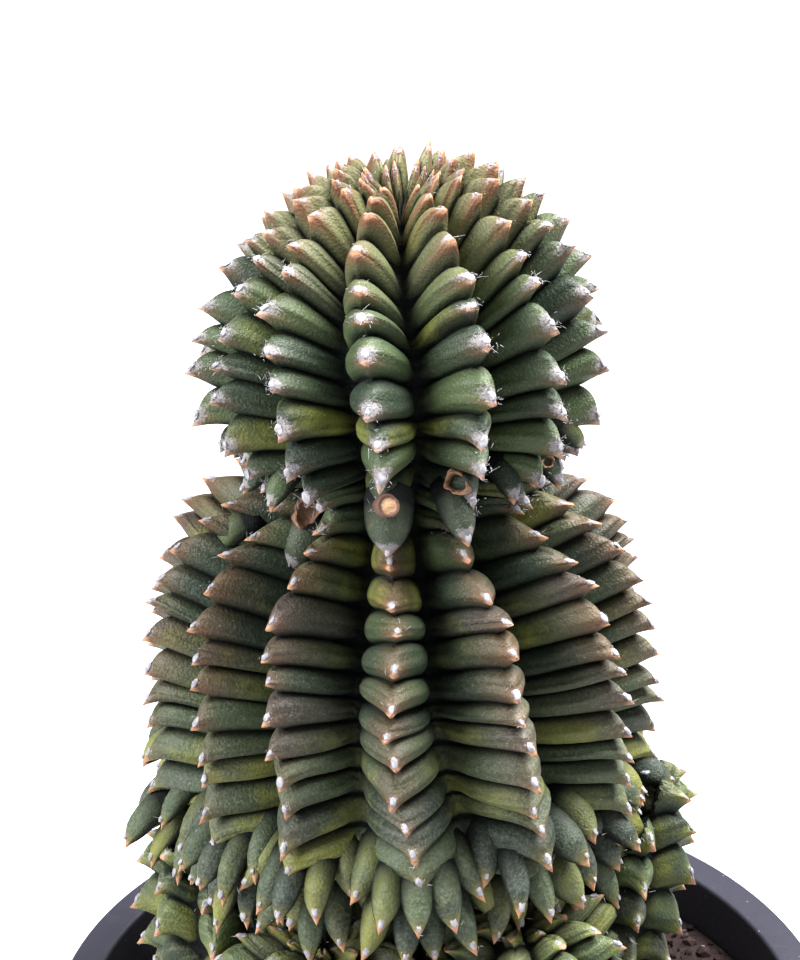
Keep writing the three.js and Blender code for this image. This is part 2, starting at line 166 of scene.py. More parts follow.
class Finish:
    """One material, with a method that adds any node and joins it up."""

    def __init__(self, name):
        self.material = bpy.data.materials.new(name)
        self.material.use_nodes = True
        self.tree = self.material.node_tree
        self.shader = self.tree.nodes["Principled BSDF"]

    def add(self, kind, settings=None, inputs=None, output=0):
        node = self.tree.nodes.new(kind)
        for name, value in (settings or {}).items():
            setattr(node, name, value)
        for slot, value in (inputs or {}).items():
            self.join(node.inputs[slot], value)
        return Value(self, node.outputs[output])

    def join(self, slot, value):
        if isinstance(value, Value):
            self.tree.links.new(value.socket, slot)
        elif isinstance(value, tuple) and len(value) == 3 and slot.type == "RGBA":
            slot.default_value = (*value, 1.0)
        else:
            slot.default_value = value

    def attribute(self, name):
        """A number that the mesh holds at each of its points."""
        return self.add("ShaderNodeAttribute", {"attribute_name": name}, output="Fac")

    def texture(self, kind, size, **settings):
        """A texture in object space, whose lumps are about this many millimetres across."""
        place = self.add("ShaderNodeTexCoord", output="Object")
        return self.add(kind, None, {"Vector": place, "Scale": 1000 / size, **settings})

    def noise(self, size, detail=2.0, roughness=0.5):
        """A soft cloud from 0 to 1."""
        return self.texture("ShaderNodeTexNoise", size, Detail=detail, Roughness=roughness)

    def cells(self, size):
        """The distance to the nearest of many random points."""
        return self.texture("ShaderNodeTexVoronoi", size)

    def mix(self, mask, first, second):
        """The first colour where the mask is 0, and the second where it is 1."""
        colours = {0: mask, 6: first, 7: second}
        return self.add("ShaderNodeMix", {"data_type": "RGBA"}, colours, output=2)

    def bump(self, height, depth, **below):
        """Shades as if the surface rose by depth millimetres where height is 1."""
        return self.add("ShaderNodeBump", None, {
            "Height": height, "Distance": depth * MM, "Strength": 1.0, **below})

    def finish(self, **sockets):
        """Joins values to the shader's sockets, named with _ for a space."""
        for name, value in sockets.items():
            title = name.replace("_", " ").title().replace("Ior", "IOR")
            self.join(self.shader.inputs[title], value)
        return self.material


FLOOR_GLOW = 0.76
floor_paint = Finish("pale_floor")
seen = floor_paint.add("ShaderNodeLightPath", output="Is Camera Ray")
floor.data.materials.append(floor_paint.finish(
    base_color=(0.5, 0.5, 0.51), roughness=0.9, emission_color=(1.0, 1.0, 1.0),
    emission_strength=seen * FLOOR_GLOW,
))
print("first material:", floor_paint.material.name)

# %% [markdown]
# ## How a rib is folded
#
# A plaid cactus has no smooth skin. Each rib is a stack of cushion-like folds that run from the
# groove out to the crest, where each ends in a small beak with a woolly spot over it. No primitive
# gives that, so the skin is one formula. Two profile lines go from the crown to the hem, the line
# of the crests and the line of the grooves, and a point of the skin is told by four numbers: its
# rib, its place across the rib, its fold, and how far down that fold it is. The numbers below are
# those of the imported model, so the fine skin grows over the same folds.

# %% Smooth lines and fixed draws
PLANT_X = -6.6
PLANT_Y = 0.0
SOIL_LEVEL = 98.0
FOOT_DEPTH = 12.0
CLEARANCE = 0.35


def unit(vectors):
    """The same directions, each of length 1."""
    return vectors / np.linalg.norm(vectors, axis=-1, keepdims=True)


def draw(first, second):
    """A fixed draw between 0 and 1 for a pair of whole numbers, the same in every run."""
    wave = np.sin(np.asarray(first) * 12.9898 + second * 78.233 + 4.1) * 43758.5453
    return wave - np.floor(wave)


def along(rows, column, place):
    """A smooth line through rows of (place, value, value, ...): one column's value at each place."""
    rows = np.asarray(rows, float)
    x, y = rows[:, 0], rows[:, column]
    slope = np.empty_like(y)
    slope[1:-1] = (y[2:] - y[:-2]) / (x[2:] - x[:-2])
    slope[0] = (y[1] - y[0]) / (x[1] - x[0])
    slope[-1] = (y[-1] - y[-2]) / (x[-1] - x[-2])
    place = np.clip(place, x[0], x[-1])
    i = np.clip(np.searchsorted(x, place) - 1, 0, len(x) - 2)
    span = x[i + 1] - x[i]
    t = (place - x[i]) / span
    rise = y[i + 1] - y[i]
    curve = (slope[i] * span - rise) * (1 - t) - (slope[i + 1] * span - rise) * t
    return y[i] + rise * t + t * (1 - t) * curve


print("a draw:", round(float(draw(3, 5)), 3), "and a line:", along([(0, 0), (1, 1), (2, 4)], 1, 1.5))

# %% The shape of one fold
TIP_PLACE = 0.74
CALM_FOLDS = 1.5
START_SPREAD = 0.8
SWAY = 0.16
SWAY_RATE = 1.9
SIZE_SPREAD = 0.3
ROLL_POWER = 2.1
ROLL_ROUND = 0.66
FLANK = 0.92
ARCH_POWER = 1.5
ARCH_ROUND = 0.74
SIDE_SWELL = 0.5
CUSHION = 0.3
CONE_SHARE, CONE_WIDTH, CONE_RISE, CONE_EDGE = 0.52, 2.9, 1.5, 1.5
BEAK_WIDTH, BEAK_RISE, BEAK_EDGE = 0.8, 4.4, 1.6
TIP_OF_CONE = 0.35
FOLD_STRIDE = 31
BOW = 0.6
WOBBLE, SWERVE, NOD = 1.5, 2.0, 26


class FoldedStem:
    """One ribbed and folded stem that stands on the origin, with its axis along +Z, in mm."""

    def __init__(self, **plan):
        self.__dict__.update(plan)

    def shift(self, rib, v):
        """The folds of a rib start at a height of their own, and are not all alike."""
        rib = np.mod(rib, self.ribs)
        left = np.maximum(0, self.folds - v)
        calm = np.minimum(1, v / CALM_FOLDS) * np.minimum(1, left / CALM_FOLDS)
        start = START_SPREAD * (draw(rib, self.seed) - 0.5)
        sway = SWAY * np.sin(v * SWAY_RATE + 7 * draw(rib, self.seed + 1))
        return calm * (start + sway)

    def between(self, rib, u, value):
        """A value that belongs to ribs, shared between a rib and its neighbour."""
        share = np.abs(u) / 2
        return value(rib) * (1 - share) + value(np.where(u < 0, rib - 1, rib + 1)) * share

    def surface(self, rib, u, fold, p):
        """Points of the skin, and how far each is out on a beak, up a roll and across the rib."""
        v = fold + p
        across = np.abs(u)
        moved = v + self.between(rib, u, lambda k: self.shift(k, v))
        inner_r, inner_z = along(self.groove, 1, moved), along(self.groove, 2, moved)
        outer_r, outer_z = along(self.crest, 1, moved), along(self.crest, 2, moved)
        reach = np.hypot(outer_r - inner_r, outer_z - inner_z)
        direction = np.arctan2(outer_z - inner_z, outer_r - inner_r)
        number = np.mod(rib, self.ribs) * FOLD_STRIDE + fold
        grown = 1 + SIZE_SPREAD * (draw(number, self.seed + 2) - 0.5)
        grown = grown * self.special(np.mod(rib, self.ribs), fold)
        tip = along(self.tip, 1, v)
        swell = CUSHION * tip
        depth = along(self.roll, 1, v) + swell
        roll = (1 - np.abs(2 * p - 1) ** ROLL_POWER) ** ROLL_ROUND
        arch = (1 - np.clip(across / FLANK, 0, 1) ** ARCH_POWER) ** ARCH_ROUND
        out = reach * arch * (1 - tip / reach) + depth * roll * arch
        r = inner_r + out * np.cos(direction)
        z = inner_z + out * np.sin(direction) + BOW * arch * 4 * across * (1 - across)
        rise = np.where(p < TIP_PLACE, p / TIP_PLACE, (1 - p) / (1 - TIP_PLACE))
        half_rib = np.pi * np.maximum(outer_r, 4) / self.ribs
        cone = rise**CONE_RISE * np.exp(-((across * half_rib / CONE_WIDTH) ** CONE_EDGE))
        point = rise**BEAK_RISE * np.exp(-((across * half_rib / BEAK_WIDTH) ** BEAK_EDGE))
        beak = CONE_SHARE * cone + (1 - CONE_SHARE) * point
        stretch = (tip * grown - swell) * beak
        nod = NOD * (draw(number, self.seed + 6) - 0.5)
        turn = direction - np.radians(along(self.droop, 1, v) + nod)
        r = r + stretch * np.cos(turn)
        z = z + stretch * np.sin(turn)
        z = z + WOBBLE * (draw(number, self.seed + 7) - 0.5) * roll * np.sin(np.pi * across)
        waist = 1 - SIDE_SWELL * (1 - roll) * (1 - across**6)
        angle = np.radians(self.between(rib, u * waist, lambda k: self.bearing(k, v)))
        angle = angle + SWERVE * (draw(number, self.seed + 8) - 0.5) * cone / np.maximum(r, 3)
        points = np.stack([r * np.sin(angle), -r * np.cos(angle), z], axis=-1)
        return points, TIP_OF_CONE * cone + (1 - TIP_OF_CONE) * point, roll, half_rib

    def special(self, rib, fold):
        """Some beaks are longer or shorter than their neighbours."""
        size = np.ones(np.broadcast(rib, fold).shape)
        for (which_rib, which_fold), times in self.specials.items():
            size = np.where((rib == which_rib) & (fold == which_fold), times, size)
        return size


print("a fold ends in a cone", CONE_WIDTH, "mm wide and a beak", BEAK_WIDTH, "mm wide")

# %% [markdown]
# ## From the formula to a mesh
#
# The grid is closest where the shape turns fastest: at the crease between two folds, at the beak,
# and in the groove between two ribs. Besides its place, each point keeps a few plain numbers, such
# as its age from crown to hem or how near it is to a beak, and the material reads them later.

# %% The grid of a stem
HALF_MARKS = (0.035, 0.08, 0.14, 0.22, 0.33, 0.47, 0.62, 0.77, 0.9)
U_MARKS = np.array([-1, *[-mark for mark in reversed(HALF_MARKS)], 0, *HALF_MARKS])
P_MARKS = np.array([0, 0.035, 0.1, 0.19, 0.3, 0.42, 0.54, 0.64, 0.74, 0.81, 0.88, 0.955])
WOOL_PLACE = 0.56
WOOLLY_FROM, WOOLLY_UNTIL = 2, 12.5
CROWN_DIMPLE = 0.6


def stem_grid(stem):
    """All points of a stem from the crown down, ring by ring, with what the material needs."""
    fold = np.repeat(np.arange(stem.folds), len(P_MARKS))[:, None]
    p = np.tile(P_MARKS, stem.folds)[:, None]
    rib = np.repeat(np.arange(stem.ribs), len(U_MARKS))[None, :]
    u = np.tile(U_MARKS, stem.ribs)[None, :]
    fold, p, rib, u = np.broadcast_arrays(fold, p, rib, u)
    points, beak, roll, half_rib = stem.surface(rib, u, fold, p)
    aside = np.abs(u) * half_rib
    woolly = np.clip((WOOLLY_UNTIL - fold) / 2, 0, 1) * np.clip((fold - WOOLLY_FROM) / 3, 0, 1)
    woolly = woolly * stem.woolly
    number = rib * FOLD_STRIDE + fold
    values = {
        "age": (fold + p) / stem.folds,
        # crest and roll also set where the skin paints shade, in the grooves and creases.
        "crest": 1 - np.abs(u),
        "roll": roll,
        "down": p * np.ones_like(roll),
        "tip": beak,
        "wool": np.exp(-(((p - WOOL_PLACE) / (0.12 + 0.1 * woolly)) ** 2)
                       - (aside / (0.7 + 0.9 * woolly)) ** 2),
        "hue": draw(number, stem.seed + 4) * np.ones_like(p),
        "tone": draw(number, stem.seed + 5) * np.ones_like(p),
    }
    return points, values


def foot_rings(stem):
    """Below the last fold the stem runs down as a plain round foot."""
    rib = np.repeat(np.arange(stem.ribs), len(U_MARKS))
    u = np.tile(U_MARKS, stem.ribs)
    angle = np.radians(stem.between(rib, u, lambda k: stem.bearing(k, float(stem.folds))))
    ring = [(r * np.sin(angle), -r * np.cos(angle), np.full_like(angle, z)) for r, z in stem.foot]
    return np.array(ring).transpose(0, 2, 1)


def ring_faces(rings, width):
    """Squares between the rings, and a fan of triangles round the point at each end."""
    at = 1 + np.arange(rings * width).reshape(rings, width)
    right = np.roll(at, -1, axis=1)
    squares = np.stack([at[:-1], at[1:], right[1:], right[:-1]], axis=-1).reshape(-1, 4)
    top = [(0, a, b) for a, b in zip(at[0], right[0])]
    last = rings * width + 1
    bottom = [(last, b, a) for a, b in zip(at[-1], right[-1])]
    return [tuple(int(i) for i in face) for face in (*top, *squares, *bottom)]


def mesh_object(name, points, faces, values=None):
    """A smooth mesh object at the origin, from points in mm, with numbers kept at its points."""
    mesh = bpy.data.meshes.new(name)
    mesh.from_pydata((np.asarray(points) * MM).tolist(), [], faces)
    for key, numbers in (values or {}).items():
        layer = mesh.attributes.new(key, "FLOAT", "POINT")
        layer.data.foreach_set("value", np.asarray(numbers, np.float32).ravel())
    mesh.shade_smooth()
    made = bpy.data.objects.new(name, mesh)
    bpy.context.scene.collection.objects.link(made)
    return made


def grow(name, stem, place):
    """The mesh of a whole stem, put in its place by a function on its points."""
    points, values = stem_grid(stem)
    foot = foot_rings(stem)
    rings = len(points) + len(foot)
    top, bottom = [[0, 0, stem.groove[0][2] - CROWN_DIMPLE]], [[0, 0, stem.foot[-1][1]]]
    body = np.concatenate([points, foot]).reshape(-1, 3)
    every = place(np.concatenate([top, body, bottom]))
    padding = len(foot) * points.shape[1] + 1
    kept = {}
    # The foot and the bottom point get an age of 1 and 0 for all else, so the skin paints them with
    # its full painted shade, nearly black.
    for key, numbers in values.items():
        below = np.full(padding, 1.0 if key == "age" else 0.0)
        kept[key] = np.concatenate([[numbers.flat[0]], numbers.ravel(), below])
    return mesh_object(name, every, ring_faces(rings, points.shape[1]), kept)


print("a fold has", len(U_MARKS) * len(P_MARKS), "points")

# %% [markdown]
# ## The skin of a plaid cactus
#
# Close up the skin is never one green. The folds run from yellow-green at the crown through deep
# green to a brown and grey olive on the old body. Every fold has a tint of its own and the beaks are
# orange. The creases between folds and the grooves between ribs are painted nearly black, as painted
# shade. The whole is finely stippled like shagreen, with light flecks that are partly the skin's own
# stipple and partly a painted speckled sheen, faint lines along each fold and a little dust. All of
# that is masks: clouds and cells in object space, and the numbers that each point of the mesh keeps.

# %% The skin finish
DEEP_GREEN = (0.026, 0.043, 0.026)
LEAF_GREEN = (0.078, 0.115, 0.044)
YELLOW_GREEN = (0.27, 0.28, 0.04)
CROWN_GREEN = (0.17, 0.17, 0.07)
RED_BROWN = (0.2, 0.078, 0.034)
OLIVE_BROWN = (0.12, 0.075, 0.036)
PURPLE_GREY = (0.05, 0.036, 0.04)
# A pale grey for dust, which also paints the speckled sheen of the light stipple flecks.
DUST_AND_SHEEN = (0.34, 0.35, 0.33)
CORK = (0.34, 0.34, 0.16)
BEAK_ORANGE = (0.58, 0.3, 0.17)
WOOL_WHITE = (0.44, 0.42, 0.45)
# Nearly black: the painted shade of creases and grooves.
PAINTED_CREASE_SHADE = (0.01, 0.012, 0.011)


def skin_finish(name, brightness, age_of_body, blush_colour, corky):
    """The skin of one stem. A brighter skin has more yellow-green, and an older one more brown."""
    skin = Finish(name)
    age, hue, tone = (skin.attribute(key) for key in ("age", "hue", "tone"))
    crest, roll, down = (skin.attribute(key) for key in ("crest", "roll", "down"))
    tip, wool = skin.attribute("tip"), skin.attribute("wool")
    cloud = skin.noise(17, 3)
    blotch = skin.noise(4, 4, 0.6)
    grain = skin.noise(0.5, 3, 0.65)
    pores = skin.cells(0.38)
    young = 1 - age.above(0.06, 0.24)
    old = age.above(0.42, 0.58) * (1 - 0.8 * age.above(0.66, 0.88)) * age_of_body
    colour = skin.mix((cloud * 0.6 + hue * 0.5).above(0.3, 0.8), DEEP_GREEN, LEAF_GREEN)
    brown = old * (blotch * 0.45 + tone * 0.4 + crest * 0.9).above(0.75, 1.35)
    colour = skin.mix(brown * 0.85, colour, OLIVE_BROWN)
    purple = old * (hue * 0.8 + cloud * 0.6).above(0.75, 1.15)
    colour = skin.mix(purple * 0.75, colour, PURPLE_GREY)
    hem = age.above(0.8, 0.95)
    bright = tone * 0.7 + blotch * 0.55 + brightness + hem * 0.24 - 0.3 * crest
    colour = skin.mix(bright.above(0.6, 0.95) * roll * 0.8, colour, YELLOW_GREEN)
    colour = skin.mix(young * 0.85, colour, CROWN_GREEN)
    blush = tip.above(0.06, 0.42) + young * crest.above(0.5, 1.0) * 0.25
    blush = blush * (young * 0.4 + 0.45 - hem * 0.25)
    colour = skin.mix(blush.clamp(), colour, blush_colour)
    colour = skin.mix(hem * tip.above(0.02, 0.5) * 0.45, colour, YELLOW_GREEN)
    # Light flecks on the pores: partly the skin's own stipple, partly a painted speckled sheen.
    stipple_and_sheen_dots = (1 - pores.above(0.06, 0.3)) * (0.4 + cloud.above(0.35, 0.65))
    colour = skin.mix(stipple_and_sheen_dots * (0.42 - 0.2 * hem), colour, DUST_AND_SHEEN)
    stripes = (down * 34 + cloud * 40 + blotch * 14).math("SINE").above(0.2, 0.95)
    colour = skin.mix(stripes * cloud.above(0.4, 0.6) * corky, colour, CORK)
    colour = skin.mix(grain.above(0.5, 0.75) * 0.14, colour, DUST_AND_SHEEN)
    dusty = (cloud * 0.6 + age * 0.7 - 0.35).above(0.25, 0.7) * grain.above(0.35, 0.7)
    colour = skin.mix(dusty * 0.22, colour, DUST_AND_SHEEN)
    specks = (1 - skin.cells(2.3).above(0.03, 0.075)) * blotch.above(0.5, 0.6)
    colour = skin.mix(specks * 0.8, colour, DUST_AND_SHEEN)
    # Painted shade: the grooves between ribs and the creases between folds are painted nearly black,
    # the grooves less so on the low body and hem.
    groove = (1 - crest.above(0.02, 0.3)) * (0.95 - 0.55 * age.above(0.6, 0.8))
    shade = ((1 - roll.above(0.1, 0.9)) * 0.9 + groove).clamp()
    colour = skin.mix(shade, colour, PAINTED_CREASE_SHADE)
    colour = skin.mix(tip.above(0.45, 0.8), colour, BEAK_ORANGE)
    flakes = skin.noise(0.4, 5, 0.8)
    frost = (wool * 0.5 + flakes - 0.5).above(0.2, 0.4) * wool.above(0.1, 0.45)
    colour = skin.mix(frost * 0.65, colour, WOOL_WHITE)
    lines = (down * 44 + cloud * 9).math("SINE") * 0.5 + 0.5
    facets = (down * 15 + cloud * 7 + hue * 5).math("SINE") * 0.5 + 0.5
    stipple = skin.bump(pores, -0.1)
    grained = skin.bump(grain, 0.08, Normal=stipple)
    lined = skin.bump(lines * crest, 0.035, Normal=grained)
    lined = skin.bump(facets * roll, 0.3, Normal=lined)
    rough = 0.46 + dusty * 0.2 + frost * 0.3 + grain * 0.12 + shade * 0.3
    return skin.finish(base_color=colour, roughness=rough, normal=lined, coat_roughness=0.4,
                       coat_weight=(1 - shade) * 0.1, specular_ior_level=0.38 - 0.3 * shade)


stem_skin = skin_finish("old_plant_skin", 0.0, 1.0, RED_BROWN, 0.0)
offset_skin = skin_finish("young_plant_skin", 0.04, 0.2, YELLOW_GREEN, 0.3)
print("the skin has", len(stem_skin.node_tree.nodes), "nodes")

# %% [markdown]
# ## The main stem
#
# The head and the body are one grown piece of 13 ribs. The seven ribs that face the camera follow
# the bearings seen in the photograph, fold by fold, and the six behind are spread evenly with a
# slow wander. A few beaks at the waist have grown long and hooked.

# %% Profiles of the main stem
STEM_CREST = [
    (0, 2.6, 238.4), (1, 6.4, 240.8), (2, 10.8, 240.4), (3, 15.0, 238.2), (4, 18.6, 235.2),
    (6, 24.2, 227.8), (8, 27.8, 217.6), (9.5, 28.0, 209.6), (10.6, 25.6, 204.4),
    (11.6, 22.0, 200.6), (12.4, 20.6, 198.0), (13.2, 21.8, 195.8), (14, 25.4, 193.4),
    (15, 29.8, 190.2), (16, 32.8, 186.5), (18, 35.7, 178.2), (20, 36.7, 169.3),
    (22, 37.0, 160.2), (24, 36.7, 151.2), (25, 34.8, 147.2), (26, 30.2, 144.2),
]
STEM_GROOVE = [
    (0, 1.4, 234.6), (1, 4.2, 234.2), (2, 7.4, 232.6), (3, 10.2, 229.8), (4, 12.2, 226.8),
    (6, 14.8, 220.2), (8, 16.0, 213.0), (9.5, 15.8, 207.4), (10.6, 14.8, 203.6),
    (11.6, 13.8, 200.0), (12.4, 13.2, 196.4), (13.2, 13.4, 192.4), (14, 14.6, 188.2),
    (15, 16.4, 183.4), (16, 18.2, 178.8), (18, 21.0, 172.0), (20, 23.2, 166.0),
    (22, 26.0, 159.6), (24, 29.4, 152.6), (25, 29.6, 149.4), (26, 25.6, 146.4),
]
STEM_FOLDS = 26
STEM_TIP = [(0, 1.4), (3, 2.6), (8, 3.4), (10, 3.8), (12, 3.0), (18, 3.2), (23, 3.8), (26, 4.8)]
STEM_ROLL = [(0, 0.5), (3, 1.3), (9, 1.8), (12, 1.1), (18, 1.4), (26, 1.6)]
STEM_DROOP = [(0, -12), (6, 8), (9, 20), (10.6, 32), (13, 6), (18, 14), (22, 24), (26, 30)]
STEM_FOOT = [(17, 141), (15, 128), (15, SOIL_LEVEL - FOOT_DEPTH)]
LONG_BEAKS = {(2, 12): 1.5, (4, 11): 1.4, (5, 11): 1.5, (1, 12): 1.3, (5, 12): 1.4}

BEARING_FOLDS = (1, 3, 6, 9, 12, 15, 19, 24)
FRONT_RIBS = [
    (-104, -95, -87, -80, -78, -79, -76, -74),
    (-88, -76, -66, -58, -54, -56, -49, -45),
    (-66, -54, -45, -33, -28, -32, -28, -24),
    (-26, -21, -11, -5, -5, -1, -2, 4),
    (28, 23, 25, 23, 20, 25, 27, 34),
    (56, 52, 50, 49, 49, 54, 57, 62),
    (82, 78, 75, 74, 72, 77, 80, 86),
]
BACK_RIBS = 6
BACK_WANDER = 2.2
RIBS = len(FRONT_RIBS) + BACK_RIBS


# %% Bearings of the ribs
def front_bearing(rib, v):
    return along(list(zip(BEARING_FOLDS, FRONT_RIBS[rib])), 1, v)


def one_bearing(place, v):
    """The bearing of one rib in degrees, from straight ahead, positive to the right."""
    if place < len(FRONT_RIBS):
        return front_bearing(place, v)
    behind = place - len(FRONT_RIBS) + 1
    start = front_bearing(len(FRONT_RIBS) - 1, v)
    gap = (front_bearing(0, v) + 360 - start) / (BACK_RIBS + 1)
    return start + gap * behind + BACK_WANDER * np.sin(v * 0.55 + 9 * draw(place, 40))


def stem_bearing(rib, v):
    rib, v = np.broadcast_arrays(rib, v)
    turns = np.floor_divide(rib, RIBS)
    place = rib - turns * RIBS
    bearing = np.zeros(rib.shape)
    for which in range(RIBS):
        chosen = place == which
        if chosen.any():
            bearing[chosen] = one_bearing(which, v[chosen])
    return bearing + turns * 360


main_stem = FoldedStem(
    ribs=RIBS, folds=STEM_FOLDS, crest=STEM_CREST, groove=STEM_GROOVE, tip=STEM_TIP,
    roll=STEM_ROLL, droop=STEM_DROOP, bearing=stem_bearing, seed=11,
    foot=STEM_FOOT, specials=LONG_BEAKS, woolly=1.0,
)
print("rib 3 bears", round(float(stem_bearing(3, np.array(12.0))), 1), "degrees at the waist")

# %% Grow the main stem
CROWN_TILT = 6
TILT_FROM = 206
TILT_FULL = 240


def stem_place(points):
    """The head grows a little askew, and the plant stands left of the pot's middle."""
    points = np.array(points, float)
    share = np.clip((points[:, 2] - TILT_FROM) / (TILT_FULL - TILT_FROM), 0, 1)
    share = share * share * (3 - 2 * share)
    points[:, 2] += points[:, 0] * math.tan(math.radians(CROWN_TILT)) * share
    return points + (PLANT_X, PLANT_Y, 0)


stem_object = grow("plaid_stem", main_stem, stem_place)
stem_object.data.materials.append(stem_skin)
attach(stem_object, "root")
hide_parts("main_stem")
print(stem_object.name, "has", len(stem_object.data.polygons), "faces")

# %% [markdown]
# ## The offsets
#
# Six young stems lean on each other round the foot, in soil. They are made by the same formula with
# nine ribs and eight folds each. Where two of them press together they are flat. So each keeps only
# what lies in its own wedge of the ring, and gives way to the main stem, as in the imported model. Two
# Boolean modifiers cut that, and the slivers that they leave are merged away.

# %% Profiles of an offset
OFFSETS = [
    # bearing, distance from the stem, lean, radius, height
    (36, 25.5, 5, 19.5, 42), (84, 21.5, 10, 16.4, 55), (151, 23, 12, 16.8, 53),
    (219, 23, 12, 16.6, 52), (288, 20, 8, 15.8, 48), (338, 24.5, 5, 18.5, 40),
]
OFFSET_RIBS = 9
OFFSET_FOLDS = 8
OFFSET_FOOT_RADIUS = 5.6
OFFSET_CREST = [
    (0, 0.12, 0.96), (1, 0.42, 1.0), (2, 0.68, 0.96), (3, 0.87, 0.86), (4, 0.97, 0.73),
    (5, 1.0, 0.6), (6, 0.98, 0.46), (7, 0.92, 0.33), (8, 0.82, 0.22),
]
OFFSET_GROOVE = [
    (0, 0.06, 0.91), (1, 0.26, 0.93), (2, 0.46, 0.89), (3, 0.6, 0.8), (4, 0.68, 0.69),
    (5, 0.71, 0.57), (6, 0.7, 0.45), (7, 0.66, 0.34), (8, 0.6, 0.25),
]
OFFSET_TIP = [(0, 1.2), (2, 2.6), (4, 4.2), (8, 4.6)]
OFFSET_ROLL = [(0, 0.5), (3, 1.3), (8, 1.5)]
OFFSET_DROOP = [(0, -2), (2, 14), (4, 28), (8, 36)]


def offset_stem(number, radius, height):
    sized = lambda rows: [(v, r * radius, z * height) for v, r, z in rows]
    turned = float(draw(number, 5))
    foot = [(OFFSET_FOOT_RADIUS + 1.4, 0.1 * height), (OFFSET_FOOT_RADIUS, 0.03 * height),
            (OFFSET_FOOT_RADIUS, -FOOT_DEPTH)]
    return FoldedStem(
        ribs=OFFSET_RIBS, folds=OFFSET_FOLDS, crest=sized(OFFSET_CREST), groove=sized(OFFSET_GROOVE),
        tip=OFFSET_TIP, roll=OFFSET_ROLL, droop=OFFSET_DROOP, seed=20 + number * 3,
        bearing=lambda rib, v: (360 / OFFSET_RIBS) * (rib + turned) + 0 * v,
        foot=foot, specials={}, woolly=0.0,
    )


def offset_matrix(bearing, distance, lean):
    """Leaned outwards about its foot, in the soil."""
    angle = math.radians(bearing)
    outwards = Vector((math.sin(angle), -math.cos(angle), 0))
    axis = Vector((0, 0, 1)).cross(outwards)
    foot = Vector((PLANT_X, PLANT_Y, SOIL_LEVEL)) + distance * outwards
    return Matrix.Translation(foot) @ Matrix.Rotation(math.radians(lean), 4, axis)


print("an offset is up to", max(radius for *_, radius, _ in OFFSETS), "mm in radius")

# %% The room that the main stem takes
ROOM_FROM, ROOM_TO, ROOM_STEP = 126, 168, 3
ROOM_SIDES = 48
NECK_RADIUS = 17
WEDGE_REACH = 120
MERGE_DISTANCE = 0.002


def turned_mesh(name, profile, sides, place=(0, 0, 0)):
    """A closed turned solid from (radius, height) pairs that start and end on the axis."""
    angle = np.linspace(0, 2 * math.pi, sides, endpoint=False)
    ring = [[(r * math.cos(a), r * math.sin(a), z) for a in angle] for r, z in profile[1:-1]]
    first, last = [(0, 0, profile[0][1])], [(0, 0, profile[-1][1])]
    points = np.concatenate([first, *ring, last]) + place
    return mesh_object(name, points, ring_faces(len(profile) - 2, sides))


def room_of_stem():
    place = np.array([vertex.co[:] for vertex in stem_object.data.vertices]) / MM
    reach = np.hypot(place[:, 0] - PLANT_X, place[:, 1] - PLANT_Y)
    profile = [(0, ROOM_TO), (1, ROOM_TO)]
    for height in range(ROOM_TO, ROOM_FROM - 1, -ROOM_STEP):
        near = np.abs(place[:, 2] - height) <= ROOM_STEP
        widest = max(NECK_RADIUS, reach[near].max()) if near.any() else NECK_RADIUS
        profile.append((widest / math.cos(math.pi / ROOM_SIDES) + CLEARANCE, height))
    deep = SOIL_LEVEL - 2 * FOOT_DEPTH
    profile += [(profile[-1][0] - 2, deep), (0, deep)]
    made = turned_mesh("room_of_stem", profile, ROOM_SIDES, (PLANT_X, PLANT_Y, 0))
    made.data.materials.append(offset_skin)
    return made


print("the main stem is given room from", ROOM_FROM, "to", ROOM_TO, "mm")


# %% Grow the offsets
def only(target):
    """Makes one object the active and only selected one."""
    bpy.ops.object.select_all(action="DESELECT")
    target.select_set(True)
    bpy.context.view_layer.objects.active = target


def cut_with(target, other, operation="DIFFERENCE"):
    """Cuts the target with another closed mesh, which is then thrown away."""
    only(target)
    cut = target.modifiers.new("cut", "BOOLEAN")
    cut.operation = operation
    cut.solver = "MANIFOLD"
    cut.object = other
    bpy.ops.object.modifier_apply(modifier=cut.name)
    bpy.data.objects.remove(other)


def clean_cuts(target):
    """Merges points that the cuts left nearly on top of each other, and splits long faces well."""
    form = bmesh.new()
    form.from_mesh(target.data)
    bmesh.ops.remove_doubles(form, verts=form.verts[:], dist=MERGE_DISTANCE * MM)
    bmesh.ops.triangulate(form, faces=form.faces[:], quad_method="BEAUTY", ngon_method="BEAUTY")
    form.to_mesh(target.data)
    form.free()


def wedge(start, end):
    """The share of the ring that an offset has to itself, as an upright wedge."""
    inset = CLEARANCE / 2 / math.sin(math.radians(end - start) / 2)
    middle = math.radians(start + end) / 2
    corner = np.array([inset * math.sin(middle), -inset * math.cos(middle)]) + (PLANT_X, PLANT_Y)
    spread = [math.radians(start + (end - start) * share) for share in (0, 0.5, 1)]
    far = [(WEDGE_REACH * math.sin(a), -WEDGE_REACH * math.cos(a)) for a in spread]
    outline = [corner, *[corner + point for point in far]]
    points = [(x, y, z) for z in (0, 2 * SOIL_LEVEL) for x, y in outline]
    sides = [(i, (i + 1) % 4, (i + 1) % 4 + 4, i + 4) for i in range(4)]
    made = mesh_object("wedge", points, [(3, 2, 1, 0), (4, 5, 6, 7), *sides])
    made.data.materials.append(offset_skin)
    return made


